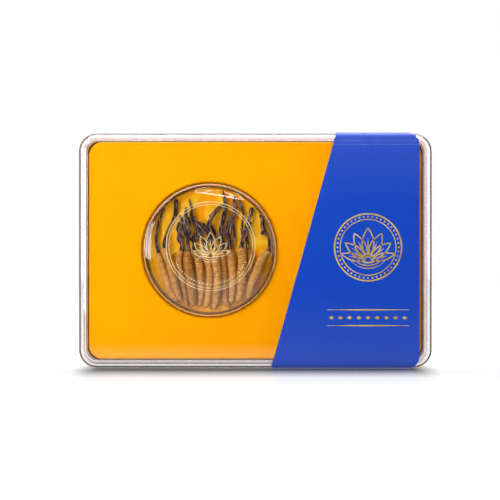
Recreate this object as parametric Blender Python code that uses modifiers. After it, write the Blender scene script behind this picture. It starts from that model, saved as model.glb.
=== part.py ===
# Dried cordyceps in a round clear capsule, shown in a clear press-fit gift case with a card sleeve.
# The case stands on its long edge. Its front faces -Y, and the origin is on the ground under its middle.
import math

import bmesh
import bpy
from mathutils import Vector

MM = 0.001
TINY = 1e-6
GAP = 0.3 * MM

# Case: two clear trays pressed together, the front one over the rim of the back one
CASE_WIDTH = 228.4 * MM
CASE_HEIGHT = 151.4 * MM
CASE_DEPTH = 40.0 * MM
CASE_CORNER = 11.5 * MM
CASE_EDGE = 5.5 * MM
WALL = 2.0 * MM
PARTING_Y = 2.0 * MM
RIM_LENGTH = 11.5 * MM

# Card sleeve around the right part of the case, slanted on its left
CARD = 0.4 * MM
SLEEVE_LEFT_TOP = 52.2 * MM
SLEEVE_LEFT_FOOT = 9.9 * MM
SLEEVE_RIGHT = 105.8 * MM
SLEEVE_CORNER = 8.0 * MM

# Satin-covered board that fills the case
INSERT_WIDTH = 216.4 * MM
INSERT_HEIGHT = 141.2 * MM
INSERT_FRONT_Y = -6.5 * MM
INSERT_CORNER = 9.0 * MM
INSERT_EDGE = 1.5 * MM
RECESS_DEPTH = 10.7 * MM
RECESS_PLAY = 0.4 * MM

# Round capsule: a cup, a domed lid and a silk pad. Heights run forwards from the bottom of the recess.
CAPSULE_X = -29.7 * MM
CAPSULE_RAISE = 0.4 * MM
CAPSULE_RADIUS = 43.75 * MM
CUP_FLOOR = 1.6 * MM
CUP_INSIDE = 41.3 * MM
CUP_RIM = 42.3 * MM
SHOULDER_HEIGHT = 9.0 * MM
RIM_HEIGHT = 12.6 * MM
LID_WALL = 1.2 * MM
LID_CROWN = 1.4 * MM
LID_HEIGHT = 19.8 * MM
DOME_RADIUS = 187.0 * MM
LID_ROUND = 3.0 * MM
PAD_RADIUS = 40.9 * MM
PAD_THICKNESS = 3.2 * MM
PAD_EDGE = 1.0 * MM

# Fineness of the round shapes
CORNER_STEPS = 6
EDGE_STEPS = 4
TURN_STEPS = 48

# Specimens
BODY_RINGS = 8
STALK_MARKS = (0.05, 0.16, 0.33, 0.5, 0.67, 0.84, 0.95, 1.0)
FORK_MARKS = (0.0, 0.2, 0.4, 0.6, 0.8, 0.95, 1.0)
RING_RELIEF = 0.07
COLLAR_LENGTH = 2.4 * MM
LINE_STEP = 1.0 * MM
REST_GAP = 0.45 * MM
STIFFNESS = 60

# Each specimen: the line of its body from head to tail and of its stalk from base to tip, in millimetres
# right of and above the capsule's middle, the body's girth, and the stalk's girth from base to tip.
# A fork is a second stalk that leaves the first one. They are listed in the order in which they are laid.
SPECIMENS = [
    {
        "body": [
            (-18.5, -0.3), (-19.6, -4.2), (-20.0, -8.5), (-19.2, -15.0),
            (-17.8, -22.0), (-16.4, -29.0), (-15.2, -36.4),
        ],
        "girth": 5.0,
        "stalk": [
            (-18.4, 3.6), (-18.6, 7.3), (-19.5, 11.6),
            (-18.6, 15.7), (-18.7, 19.1), (-19.5, 22.6),
        ],
        "stalk_girths": (3.4, 2.8, 2.9, 2.0),
        "forks": [
            {"line": [(-18.7, 3.4), (-20.8, 7.0), (-20.4, 10.6), (-21.2, 13.6), (-19.6, 18.2)], "girth": 2.1},
            {"line": [(-18.5, 6.2), (-16.8, 9.4), (-17.4, 14.4), (-17.0, 18.8)], "girth": 1.8},
        ],
    },
    {
        "body": [
            (-33.2, -1.9), (-32.4, -5.5), (-30.6, -11.5), (-28.3, -18.0),
            (-26.0, -24.2), (-23.4, -30.2), (-21.0, -34.2),
        ],
        "girth": 5.2,
        "stalk": [(-34.4, 1.6), (-35.0, 7.8), (-34.4, 12.8), (-32.8, 19.2), (-31.6, 24.0), (-29.7, 27.4)],
        "stalk_girths": (2.8, 2.4, 2.2, 1.6),
        "forks": [],
    },
    {
        "body": [
            (-9.7, -0.3), (-8.2, -4.4), (-6.9, -10.5), (-6.1, -16.5),
            (-5.6, -24.1), (-5.7, -31.0), (-6.7, -36.4),
        ],
        "girth": 5.4,
        "stalk": [
            (-10.0, 3.2), (-10.4, 7.6), (-8.9, 12.0), (-9.6, 16.4),
            (-11.9, 22.4), (-11.8, 26.6), (-13.6, 33.4),
        ],
        "stalk_girths": (3.6, 3.0, 2.8, 1.0),
        "forks": [
            {"line": [(-10.2, 5.2), (-13.2, 7.4), (-15.8, 9.6), (-17.3, 13.4), (-18.2, 18.4)], "girth": 2.3},
            {"line": [(-9.8, 6.4), (-7.0, 9.2), (-5.4, 13.6), (-6.6, 18.4)], "girth": 2.1},
        ],
    },
    {
        "body": [
            (8.1, -1.0), (8.5, -8.0), (9.1, -15.0), (9.3, -22.0),
            (9.4, -29.0), (10.8, -34.6), (13.4, -37.4),
        ],
        "girth": 5.0,
        "stalk": [
            (8.4, 3.8), (7.4, 8.3), (7.1, 12.6), (7.9, 17.4), (9.3, 22.8),
            (10.3, 28.0), (9.6, 32.6), (8.6, 39.0),
        ],
        "stalk_girths": (3.8, 3.5, 3.7, 0.9),
        "forks": [
            {"line": [(8.4, 4.2), (6.0, 6.8), (3.8, 10.0), (1.8, 14.0), (-1.6, 18.6)], "girth": 2.3},
            {"line": [(10.2, 28.6), (6.8, 28.6), (3.2, 25.0), (-0.4, 21.4)], "girth": 2.3},
        ],
    },
    {
        "body": [(25.2, 0.4), (26.2, -5.5), (26.4, -10.5), (25.4, -15.0), (24.2, -19.0), (23.4, -22.6)],
        "girth": 4.3,
        "stalk": [(24.4, 4.0), (24.0, 8.0), (24.8, 12.4), (26.8, 18.4)],
        "stalk_girths": (3.4, 3.0, 2.6, 1.7),
        "forks": [],
    },
    {
        "body": [
            (38.1, -0.8), (36.0, -3.0), (33.7, -6.2), (31.8, -10.6), (29.9, -15.4),
            (27.9, -20.2), (26.2, -25.2), (25.2, -31.4),
        ],
        "girth": 6.0,
        "stalk": [
            (38.6, 2.6), (38.6, 6.0), (37.2, 10.0), (35.2, 13.0),
            (34.2, 16.4), (34.4, 19.2), (32.4, 23.0),
        ],
        "stalk_girths": (2.6, 2.3, 3.4, 2.6),
        "forks": [{"line": [(35.2, 13.0), (34.3, 11.6), (34.2, 9.6)], "girth": 3.0}],
    },
    {
        "body": [
            (-3.3, -1.0), (-1.2, -7.0), (0.1, -13.0), (0.1, -19.0),
            (-0.3, -25.0), (-1.4, -32.0), (-3.0, -38.0),
        ],
        "girth": 5.3,
        "stalk": [(-3.0, 3.0), (-4.9, 8.0), (-7.2, 13.0), (-8.8, 17.4), (-9.9, 22.0)],
        "stalk_girths": (3.8, 3.5, 2.8, 1.8),
        "forks": [{"line": [(-3.2, 3.4), (-0.8, 7.8), (-1.6, 12.4), (-4.6, 17.6)], "girth": 2.4}],
    },
    {
        "body": [
            (12.6, 0.2), (13.7, -4.4), (14.3, -9.5), (14.8, -15.5),
            (15.0, -21.0), (14.7, -27.5), (14.0, -34.4),
        ],
        "girth": 5.6,
        "stalk": [
            (12.7, 4.6), (12.2, 8.8), (13.0, 13.4), (14.0, 18.4), (15.8, 23.4),
            (16.5, 27.0), (15.8, 31.4), (16.3, 34.8),
        ],
        "stalk_girths": (3.4, 3.3, 3.5, 2.2),
        "forks": [
            {"line": [(12.3, 6.6), (10.4, 11.0), (11.2, 15.6), (13.0, 21.4)], "girth": 2.4},
            {"line": [(13.2, 2.4), (15.6, 6.4), (15.9, 12.0), (15.2, 18.8)], "girth": 1.7},
        ],
    },
    {
        "body": [
            (-30.0, 1.0), (-28.1, -3.8), (-26.4, -9.0), (-24.5, -15.0),
            (-22.7, -21.0), (-20.9, -27.0), (-18.8, -32.8),
        ],
        "girth": 5.0,
        "stalk": [
            (-29.4, 4.4), (-28.5, 8.3), (-26.4, 14.4), (-23.3, 20.6),
            (-22.2, 25.4), (-22.2, 29.6), (-22.3, 33.2),
        ],
        "stalk_girths": (3.8, 2.5, 3.1, 3.9),
        "forks": [],
    },
    {
        "body": [
            (3.3, -0.4), (3.9, -7.0), (4.9, -14.4), (5.0, -21.0),
            (4.7, -27.0), (4.0, -33.0), (2.8, -38.6),
        ],
        "girth": 5.2,
        "stalk": [(2.2, 3.6), (0.8, 8.2), (-0.8, 13.0), (-0.2, 18.0), (2.4, 22.8), (5.8, 27.2)],
        "stalk_girths": (3.6, 3.4, 3.0, 2.2),
        "forks": [{"line": [(0.4, 9.4), (-3.2, 12.6), (-6.6, 15.8), (-10.2, 20.4)], "girth": 2.8}],
    },
    {
        "body": [
            (-13.9, -0.6), (-14.3, -5.6), (-13.8, -11.0), (-12.6, -17.0),
            (-12.0, -24.0), (-11.5, -31.0), (-10.2, -36.8),
        ],
        "girth": 6.2,
        "stalk": [
            (-14.2, 3.4), (-14.3, 7.0), (-14.9, 12.4), (-15.1, 17.4),
            (-15.5, 22.6), (-15.3, 28.0),
        ],
        "stalk_girths": (3.4, 3.0, 3.2, 2.6),
        "forks": [{"line": [(-14.3, 6.4), (-12.5, 11.4), (-12.6, 16.4), (-14.2, 21.8)], "girth": 2.3}],
    },
    {
        "body": [
            (20.7, 1.4), (21.3, -4.0), (21.1, -9.5), (20.7, -15.5),
            (20.6, -21.5), (20.1, -27.5), (18.2, -33.8),
        ],
        "girth": 5.9,
        "stalk": [(21.2, 5.4), (22.0, 10.2), (24.2, 16.2), (26.4, 22.0), (27.4, 27.8)],
        "stalk_girths": (3.9, 2.6, 2.6, 3.9),
        "forks": [
            {
                "line": [(21.5, 8.0), (20.7, 13.4), (21.2, 18.6), (21.9, 22.4), (20.4, 28.0), (19.0, 32.8)],
                "girth": 2.0,
            },
            {"line": [(21.6, 7.0), (23.6, 9.6), (25.4, 13.0)], "girth": 2.4},
        ],
    },
]

# Colours, roughness and how clear each material is
CLEAR_PLASTIC = {"colour": (0.93, 0.92, 0.95), "roughness": 0.04, "clear": 1.0}
YELLOW_SATIN = {"colour": (0.94, 0.38, 0.01), "roughness": 0.45, "clear": 0.0}
YELLOW_SILK = {"colour": (1.0, 0.46, 0.02), "roughness": 0.5, "clear": 0.0}
DRIED_BODY = {"colour": (0.36, 0.19, 0.05), "roughness": 0.7, "clear": 0.0}
BLUE_CARD = {"colour": (0.014, 0.084, 0.55), "roughness": 0.25, "clear": 0.0}

# Places that follow from the dimensions above
CASE_CENTRE_Z = CARD + GAP + CASE_HEIGHT / 2
SLEEVE_TOP = CASE_HEIGHT + 2 * (CARD + GAP)
RECESS_FLOOR_Y = INSERT_FRONT_Y + RECESS_DEPTH
PAD_HEIGHT = GAP + CUP_FLOOR + GAP + PAD_THICKNESS
FACING = (math.radians(90), 0, 0)


def clear_objects():
    for obj in list(bpy.data.objects):
        bpy.data.objects.remove(obj, do_unlink=True)


def make_collection(name):
    collection = bpy.data.collections.new(name)
    bpy.context.scene.collection.children.link(collection)
    return collection


def make_material(name, look):
    material = bpy.data.materials.new(name)
    material.use_nodes = True
    shader = material.node_tree.nodes["Principled BSDF"]
    shader.inputs["Base Color"].default_value = (*look["colour"], 1.0)
    shader.inputs["Roughness"].default_value = look["roughness"]
    shader.inputs["Metallic"].default_value = 0.0
    shader.inputs["Transmission Weight"].default_value = look["clear"]
    return material


def add_object(name, data, collection, material=None, parent=None):
    obj = bpy.data.objects.new(name, data)
    collection.objects.link(obj)
    obj.parent = parent
    if material:
        data.materials.append(material)
    return obj


def mesh_from(name, shape, sharp_angle=math.radians(40)):
    mesh = bpy.data.meshes.new(name)
    shape.to_mesh(mesh)
    shape.free()
    mesh.shade_smooth()
    mesh.set_sharp_from_angle(angle=sharp_angle)
    return mesh


def rounded_block(width, height, front, back, corner, edge, edge_y):
    """A block whose corners are round seen from the front, with soft edges around its face at edge_y."""
    shape = bmesh.new()
    bmesh.ops.create_cube(shape, size=1.0)
    bmesh.ops.scale(shape, vec=(width, back - front, height), verts=shape.verts)
    bmesh.ops.translate(shape, vec=(0, (front + back) / 2, 0), verts=shape.verts)
    deep = [e for e in shape.edges if abs(e.verts[0].co.y - e.verts[1].co.y) > TINY]
    bmesh.ops.bevel(shape, geom=deep, offset=corner, segments=CORNER_STEPS, profile=0.5, affect="EDGES")
    soft = [e for e in shape.edges if all(abs(v.co.y - edge_y) < TINY for v in e.verts)]
    bmesh.ops.bevel(shape, geom=soft, offset=edge, segments=EDGE_STEPS, profile=0.5, affect="EDGES")
    return shape


def open_side(shape, side_y):
    """Takes away the flat face at side_y and gives the edges that were around it."""
    faces = [f for f in shape.faces if all(abs(v.co.y - side_y) < TINY for v in f.verts)]
    bmesh.ops.delete(shape, geom=faces, context="FACES")
    return [e for e in shape.edges if e.is_boundary]


def extend_edge(shape, edges, inset, reach):
    """Carries an open edge of the case on, inwards by inset and then forwards by reach."""
    made = bmesh.ops.extrude_edge_only(shape, edges=edges)["geom"]
    verts = [v for v in made if isinstance(v, bmesh.types.BMVert)]
    straight_x = CASE_WIDTH / 2 - CASE_CORNER
    straight_z = CASE_HEIGHT / 2 - CASE_CORNER
    for vert in verts:
        x, y, z = vert.co
        middle = Vector((max(-straight_x, min(straight_x, x)), y, max(-straight_z, min(straight_z, z))))
        vert.co -= (vert.co - middle).normalized() * inset
        vert.co.y -= reach
    return [e for e in made if isinstance(e, bmesh.types.BMEdge) and e.is_boundary]


def add_wall(obj, thickness):
    shell = obj.modifiers.new("Wall", "SOLIDIFY")
    shell.thickness = thickness
    shell.offset = -1.0
    shell.use_even_offset = True


def add_cut(obj, cutter, operation):
    cut = obj.modifiers.new("Join" if operation == "UNION" else "Cut", "BOOLEAN")
    cut.operation = operation
    cut.solver = "EXACT"
    cut.object = cutter
    cutter.hide_render = True
    cutter.display_type = "WIRE"


def make_lid_tray(collection, material, parent):
    front = -CASE_DEPTH / 2
    shape = rounded_block(CASE_WIDTH, CASE_HEIGHT, front, PARTING_Y, CASE_CORNER, CASE_EDGE, front)
    open_side(shape, PARTING_Y)
    tray = add_object("case_lid", mesh_from("case_lid", shape), collection, material, parent)
    add_wall(tray, WALL)


def make_base_tray(collection, material, parent):
    back = CASE_DEPTH / 2
    shoulder = PARTING_Y + GAP
    shape = rounded_block(CASE_WIDTH, CASE_HEIGHT, shoulder, back, CASE_CORNER, CASE_EDGE, back)
    shoulder_edges = extend_edge(shape, open_side(shape, shoulder), WALL + GAP, 0)
    extend_edge(shape, shoulder_edges, 0, RIM_LENGTH)
    bmesh.ops.recalc_face_normals(shape, faces=shape.faces)
    tray = add_object("case_base", mesh_from("case_base", shape), collection, material, parent)
    add_wall(tray, WALL)


def make_turned(name, profile, collection, material=None, parent=None):
    """A round piece turned about its own Z from a profile of (radius, height), facing the front."""
    mesh = bpy.data.meshes.new(name)
    points = [(radius, 0, height) for radius, height in profile]
    mesh.from_pydata(points, [(i, i + 1) for i in range(len(points) - 1)], [])
    piece = add_object(name, mesh, collection, material, parent)
    turn = piece.modifiers.new("Turn", "SCREW")
    turn.angle = math.radians(360)
    turn.steps = TURN_STEPS
    turn.render_steps = TURN_STEPS
    turn.use_merge_vertices = True
    turn.merge_threshold = 0.01 * MM
    turn.use_smooth_shade = True
    piece.rotation_euler = FACING
    return piece


def arc(middle, radius, start_deg, end_deg, steps):
    """Points along an arc in the plane of a profile, ends included."""
    turns = [math.radians(start_deg + (end_deg - start_deg) * i / steps) for i in range(steps + 1)]
    return [(middle[0] + radius * math.cos(a), middle[1] + radius * math.sin(a)) for a in turns]


def make_insert(collection, cutters, material, parent):
    back = CASE_DEPTH / 2 - WALL - GAP
    shape = rounded_block(
        INSERT_WIDTH, INSERT_HEIGHT, INSERT_FRONT_Y, back, INSERT_CORNER, INSERT_EDGE, INSERT_FRONT_Y
    )
    insert = add_object("insert", mesh_from("insert", shape), collection, material, parent)
    hole = CAPSULE_RADIUS + RECESS_PLAY
    rolled = arc((hole + INSERT_EDGE, RECESS_DEPTH - INSERT_EDGE), INSERT_EDGE, 90, 180, 3)
    wide = (hole + INSERT_EDGE, RECESS_DEPTH + 2 * MM)
    profile = [(0, wide[1]), wide, *rolled, (hole, 0), (0, 0)]
    cutter = make_turned("recess", profile, cutters, None, parent)
    cutter.location = (CAPSULE_X, RECESS_FLOOR_Y, CAPSULE_RAISE)
    add_cut(insert, cutter, "DIFFERENCE")


def dome_line(apex, radius, reach, steps):
    """The profile of a shallow dome from its top out to reach."""
    spread = [reach * i / steps for i in range(steps + 1)]
    return [(r, apex - radius + math.sqrt(radius * radius - r * r)) for r in spread]


def make_capsule(collection, clear, silk, parent):
    place = (CAPSULE_X, RECESS_FLOOR_Y, CAPSULE_RAISE)
    floor = GAP + CUP_FLOOR
    cup_profile = [
        (0, floor),
        *arc((CUP_INSIDE - MM, floor + MM), MM, -90, 0, 2),
        (CUP_INSIDE, RIM_HEIGHT),
        (CUP_RIM, RIM_HEIGHT),
        (CUP_RIM, SHOULDER_HEIGHT),
        (CAPSULE_RADIUS, SHOULDER_HEIGHT),
        *arc((CAPSULE_RADIUS - 2 * MM, GAP + 2 * MM), 2 * MM, 0, -90, 2),
        (0, GAP),
    ]
    cup = make_turned("capsule_base", cup_profile, collection, clear, parent)
    cup.location = place

    outer_round = CAPSULE_RADIUS - LID_ROUND
    outer_dome = dome_line(LID_HEIGHT, DOME_RADIUS, outer_round, 3)
    outer_arc = arc((outer_round, outer_dome[-1][1] - LID_ROUND), LID_ROUND, 76, 0, 4)
    inner_edge = CAPSULE_RADIUS - LID_WALL
    inner_round = inner_edge - 2 * MM
    inner_dome = dome_line(LID_HEIGHT - LID_CROWN, DOME_RADIUS, inner_round, 3)
    inner_arc = arc((inner_round, inner_dome[-1][1] - 2 * MM), 2 * MM, 0, 76, 3)
    lid_profile = [
        *outer_dome[:-1],
        *outer_arc,
        (CAPSULE_RADIUS, SHOULDER_HEIGHT + GAP),
        (inner_edge, SHOULDER_HEIGHT + GAP),
        *inner_arc,
        *reversed(inner_dome[:-1]),
    ]
    lid = make_turned("capsule_lid", lid_profile, collection, clear, parent)
    lid.location = place

    shape = bmesh.new()
    across = PAD_RADIUS
    bmesh.ops.create_cone(
        shape, cap_ends=True, segments=TURN_STEPS, radius1=across, radius2=across, depth=PAD_THICKNESS
    )
    pad = add_object("capsule_pad", mesh_from("capsule_pad", shape), collection, silk, parent)
    pad.rotation_euler = FACING
    pad.location = place
    pad.location.y -= PAD_HEIGHT - PAD_THICKNESS / 2
    soften = pad.modifiers.new("Edge", "BEVEL")
    soften.width = PAD_EDGE
    soften.segments = 2
    soften.limit_method = "ANGLE"


def smooth_line(points):
    """Points every LINE_STEP along a smooth curve through the given points, and their distances."""
    ends = [2 * points[0] - points[1], *points, 2 * points[-1] - points[-2]]
    fine = []
    for before, start, end, after in zip(ends, ends[1:], ends[2:], ends[3:]):
        for step in range(20):
            t = step / 20
            fine.append(
                0.5
                * (
                    2 * start
                    + (end - before) * t
                    + (2 * before - 5 * start + 4 * end - after) * t**2
                    + (3 * start - before - 3 * end + after) * t**3
                )
            )
    fine.append(points[-1])
    gone = [0.0]
    for start, end in zip(fine, fine[1:]):
        gone.append(gone[-1] + (end - start).length)
    count = max(2, round(gone[-1] / LINE_STEP))
    distances = [gone[-1] * i / count for i in range(count + 1)]
    return [at_distance(fine, gone, d) for d in distances], distances


def at_distance(values, distances, wanted):
    """The value at a distance along a line, between the two nearest known ones."""
    for i in range(1, len(distances)):
        if wanted <= distances[i]:
            share = (wanted - distances[i - 1]) / (distances[i] - distances[i - 1])
            return values[i - 1] * (1 - share) + values[i] * share
    return values[-1]


def smooth_share(value):
    value = max(0.0, min(1.0, value))
    return value * value * (3 - 2 * value)


def radius_along(specimen, distance, body_length, length):
    """The specimen's radius at a distance from its tail: body, narrow neck, then stalk."""
    full = specimen["girth"] / 2 * MM
    girths = [g / 2 * MM for g in specimen["stalk_girths"]]
    if distance <= body_length:
        tail = 0.76 + 0.24 * smooth_share(distance / (0.4 * body_length))
        head = 1 - 0.22 * smooth_share((distance - 0.86 * body_length) / (0.14 * body_length))
        tip = math.sqrt(max(0.05, 1 - (1 - min(1.0, distance / full)) ** 2))
        return full * tail * head * tip
    along = (distance - body_length) / (length - body_length)
    marks = [0.0, 0.33, 0.72, 1.0]
    radius = at_distance(girths, marks, along)
    collar = 1 - smooth_share((distance - body_length) / COLLAR_LENGTH)
    tip = math.sqrt(max(0.06, 1 - (1 - min(1.0, (length - distance) / girths[-1])) ** 2))
    return (radius + (0.72 * full - radius) * collar) * tip


def lay(line, radii, laid, start_height=None):
    """The heights of a specimen's points over the pad, clear of the pad and of those already laid."""
    needed = []
    for point, radius in zip(line, radii):
        height = radius + GAP
        for other_point, other_height, other_radius in laid:
            reach = radius + other_radius + REST_GAP
            apart = (point - other_point).length
            if apart < reach:
                height = max(height, other_height + math.sqrt(reach * reach - apart * apart))
        needed.append(height)
    if start_height:
        needed[0] = max(needed[0], start_height)
    heights = list(needed)
    for _ in range(STIFFNESS):
        padded = [heights[0], *heights, heights[-1]]
        heights = [max(n, (a + b + c) / 3) for n, a, b, c in zip(needed, padded, padded[1:], padded[2:])]
    return heights


def make_strand(name, points, collection, parent):
    """A round strand of changing thickness, as a closed mesh, through (place, height, radius) points."""
    curve = bpy.data.curves.new(name, "CURVE")
    curve.dimensions = "3D"
    curve.bevel_depth = 1.0
    curve.bevel_resolution = 2
    curve.use_fill_caps = True
    spline = curve.splines.new("POLY")
    spline.points.add(len(points) - 1)
    for point, (place, height, radius) in zip(spline.points, points):
        point.co = (place.x, place.y, height, 1)
        point.radius = radius
    mesh = welded_mesh(add_object(name + "_line", curve, collection))
    mesh.shade_smooth()
    strand = add_object(name, mesh, collection, None, parent)
    strand.rotation_euler = FACING
    strand.location = (CAPSULE_X, RECESS_FLOOR_Y - PAD_HEIGHT, CAPSULE_RAISE)
    return strand


def welded_mesh(curve_object):
    """The closed mesh of a curve object, which is removed."""
    bpy.context.view_layer.update()
    evaluated = curve_object.evaluated_get(bpy.context.evaluated_depsgraph_get())
    mesh = bpy.data.meshes.new_from_object(evaluated)
    bpy.data.objects.remove(curve_object, do_unlink=True)
    shape = bmesh.new()
    shape.from_mesh(mesh)
    bmesh.ops.remove_doubles(shape, verts=shape.verts, dist=0.01 * MM)
    bmesh.ops.recalc_face_normals(shape, faces=shape.faces)
    shape.to_mesh(mesh)
    shape.free()
    return mesh


def fork_radius(fork, distance, length):
    full = fork["girth"] / 2 * MM
    tip = math.sqrt(max(0.06, 1 - (1 - min(1.0, (length - distance) / full)) ** 2))
    return full * tip


def make_specimen(index, specimen, laid, collection, cutters, material, parent):
    body = [Vector(p) * MM for p in reversed(specimen["body"])]
    stalk = [Vector(p) * MM for p in specimen["stalk"]]
    line, distances = smooth_line(body + stalk)
    length = distances[-1]
    body_length = smooth_line(body)[1][-1]
    radii = [radius_along(specimen, d, body_length, length) for d in distances]
    heights = lay(line, radii, laid)
    lying = list(zip(line, heights, radii))

    rest = length - body_length
    marks = [body_length * i / (2 * BODY_RINGS) for i in range(2 * BODY_RINGS + 1)]
    marks += [body_length + rest * mark for mark in STALK_MARKS]
    points = []
    for number, mark in enumerate(marks):
        ring = RING_RELIEF * (1 if number % 2 else -1) if mark < body_length else 0
        radius = radius_along(specimen, mark, body_length, length) * (1 - RING_RELIEF + ring)
        points.append((at_distance(line, distances, mark), at_distance(heights, distances, mark), radius))
    name = f"cordyceps_{index:02d}"
    piece = make_strand(name, points, collection, parent)
    piece.data.materials.append(material)

    for number, fork in enumerate(specimen["forks"], start=1):
        fork_line, marks = smooth_line([Vector(p) * MM for p in fork["line"]])
        nearest = min(range(len(line)), key=lambda i: (line[i] - fork_line[0]).length)
        radii = [fork_radius(fork, d, marks[-1]) for d in marks]
        heights = lay(fork_line, radii, laid, lying[nearest][1])
        lying += zip(fork_line, heights, radii)
        points = []
        for share in FORK_MARKS:
            mark = marks[-1] * share
            spot = at_distance(fork_line, marks, mark)
            points.append((spot, at_distance(heights, marks, mark), fork_radius(fork, mark, marks[-1])))
        add_cut(piece, make_strand(f"{name}_fork_{number}", points, cutters, parent), "UNION")
    laid += lying


def make_outline_cutter(name, outline, thickness, collection, parent):
    """A prism of a flat outline in X and Z, running through the object in Y."""
    curve = bpy.data.curves.new(name, "CURVE")
    curve.dimensions = "2D"
    curve.fill_mode = "BOTH"
    curve.extrude = thickness / 2
    spline = curve.splines.new("POLY")
    spline.points.add(len(outline) - 1)
    for point, (x, z) in zip(spline.points, outline):
        point.co = (x, z, 0, 1)
    spline.use_cyclic_u = True
    mesh = welded_mesh(add_object(name + "_outline", curve, collection))
    cutter = add_object(name, mesh, collection, None, parent)
    cutter.rotation_euler = FACING
    return cutter


def make_sleeve(collection, cutters, material, parent):
    margin = 4 * MM
    start, end = SLEEVE_LEFT_FOOT - margin, SLEEVE_RIGHT + margin
    depth = CASE_DEPTH + 2 * (GAP + CARD)
    shape = bmesh.new()
    bmesh.ops.create_cube(shape, size=1.0)
    bmesh.ops.scale(shape, vec=(end - start, depth, SLEEVE_TOP), verts=shape.verts)
    bmesh.ops.translate(shape, vec=((start + end) / 2, 0, 0), verts=shape.verts)
    long_edges = [e for e in shape.edges if abs(e.verts[0].co.x - e.verts[1].co.x) > TINY]
    bend = CASE_EDGE + GAP + CARD
    bmesh.ops.bevel(shape, geom=long_edges, offset=bend, segments=EDGE_STEPS, profile=0.5, affect="EDGES")
    ends = [f for f in shape.faces if abs(f.normal.x) > 0.9]
    bmesh.ops.delete(shape, geom=ends, context="FACES")
    sleeve = add_object("sleeve", mesh_from("sleeve", shape), collection, material, parent)
    add_wall(sleeve, CARD)

    top = SLEEVE_TOP / 2
    slope = (SLEEVE_LEFT_TOP - SLEEVE_LEFT_FOOT) / SLEEVE_TOP
    corner_x = SLEEVE_RIGHT - SLEEVE_CORNER
    corner_z = top - SLEEVE_CORNER
    outline = [
        (SLEEVE_LEFT_FOOT - slope * margin, -top - margin),
        (corner_x, -top - margin),
        *arc((corner_x, -corner_z), SLEEVE_CORNER, -90, 0, 6),
        *arc((corner_x, corner_z), SLEEVE_CORNER, 0, 90, 6),
        (corner_x, top + margin),
        (SLEEVE_LEFT_TOP + slope * margin, top + margin),
    ]
    cutter = make_outline_cutter("sleeve_shape", outline, depth + 2 * margin, cutters, parent)
    add_cut(sleeve, cutter, "INTERSECT")


def main():
    clear_objects()
    collection = make_collection("boxed_dried_cordyceps")
    cutters = make_collection("cutters")
    clear = make_material("clear_plastic", CLEAR_PLASTIC)
    satin = make_material("yellow_satin", YELLOW_SATIN)
    silk = make_material("yellow_silk", YELLOW_SILK)
    dried = make_material("dried_cordyceps", DRIED_BODY)
    card = make_material("blue_card", BLUE_CARD)
    middle = add_object("case_middle", None, collection)
    middle.location.z = CASE_CENTRE_Z

    make_base_tray(collection, clear, middle)
    make_lid_tray(collection, clear, middle)
    make_insert(collection, cutters, satin, middle)
    make_capsule(collection, clear, silk, middle)
    laid = []
    for index, specimen in enumerate(SPECIMENS, start=1):
        make_specimen(index, specimen, laid, collection, cutters, dried, middle)
    make_sleeve(collection, cutters, card, middle)


main()
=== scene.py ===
import math

import bmesh
import bpy
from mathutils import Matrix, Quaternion, Vector, noise


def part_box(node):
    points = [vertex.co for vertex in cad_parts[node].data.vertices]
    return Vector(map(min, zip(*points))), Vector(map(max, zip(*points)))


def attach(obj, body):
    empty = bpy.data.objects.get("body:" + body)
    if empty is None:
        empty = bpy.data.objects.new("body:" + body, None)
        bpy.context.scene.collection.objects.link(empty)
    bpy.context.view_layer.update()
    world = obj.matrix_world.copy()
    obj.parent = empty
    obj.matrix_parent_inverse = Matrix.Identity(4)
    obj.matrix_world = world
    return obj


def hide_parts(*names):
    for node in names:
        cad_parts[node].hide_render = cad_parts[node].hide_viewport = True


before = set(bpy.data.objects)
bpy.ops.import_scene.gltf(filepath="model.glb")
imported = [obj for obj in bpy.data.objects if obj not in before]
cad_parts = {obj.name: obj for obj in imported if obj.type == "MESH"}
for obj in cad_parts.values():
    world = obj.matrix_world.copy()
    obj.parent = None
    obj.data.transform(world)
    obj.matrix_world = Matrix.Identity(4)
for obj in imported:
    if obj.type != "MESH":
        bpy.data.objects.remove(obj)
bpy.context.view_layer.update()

# Dried cordyceps in a round clear capsule, in a clear gift case with a yellow insert and a blue card sleeve.
# The case stands on its long edge and its front faces -Y.
mm = 0.001


# General helpers for meshes

def addPiece(name, mesh, materials):
    piece = bpy.data.objects.new(name, mesh)
    bpy.context.scene.collection.objects.link(piece)
    for material in materials:
        mesh.materials.append(material)
    return piece


def keepPiece(piece, nodes=()):
    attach(piece, "root")
    if nodes:
        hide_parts(*nodes)


def meshFrom(name, shape, sharpAngle=40):
    mesh = bpy.data.meshes.new(name)
    shape.to_mesh(mesh)
    shape.free()
    mesh.shade_smooth()
    mesh.set_sharp_from_angle(angle=math.radians(sharpAngle))
    return mesh


def plainMesh(piece):
    # the evaluated result of a piece's modifiers becomes its own mesh
    bpy.context.view_layer.update()
    evaluated = piece.evaluated_get(bpy.context.evaluated_depsgraph_get())
    mesh = bpy.data.meshes.new_from_object(evaluated)
    piece.modifiers.clear()
    piece.data = mesh


def arc(middle, radius, startDeg, endDeg, steps):
    turns = [math.radians(startDeg + (endDeg - startDeg) * i / steps) for i in range(steps + 1)]
    return [(middle[0] + radius * math.cos(a), middle[1] + radius * math.sin(a)) for a in turns]


def quarterTurns(steps):
    return [math.radians(90 * i / steps) for i in range(steps + 1)]


def smoothShare(value):
    value = max(0.0, min(1.0, value))
    return value * value * (3 - 2 * value)


def roundedOutline(width, height, corner, inset, steps):
    # a rectangle with round corners, drawn inset inwards from its size
    points = []
    for quarter, (sideX, sideZ) in enumerate([(1, 1), (-1, 1), (-1, -1), (1, -1)]):
        middle = (sideX * (width / 2 - corner), sideZ * (height / 2 - corner))
        points += arc(middle, corner - inset, quarter * 90, quarter * 90 + 90, steps)
    return points


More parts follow.
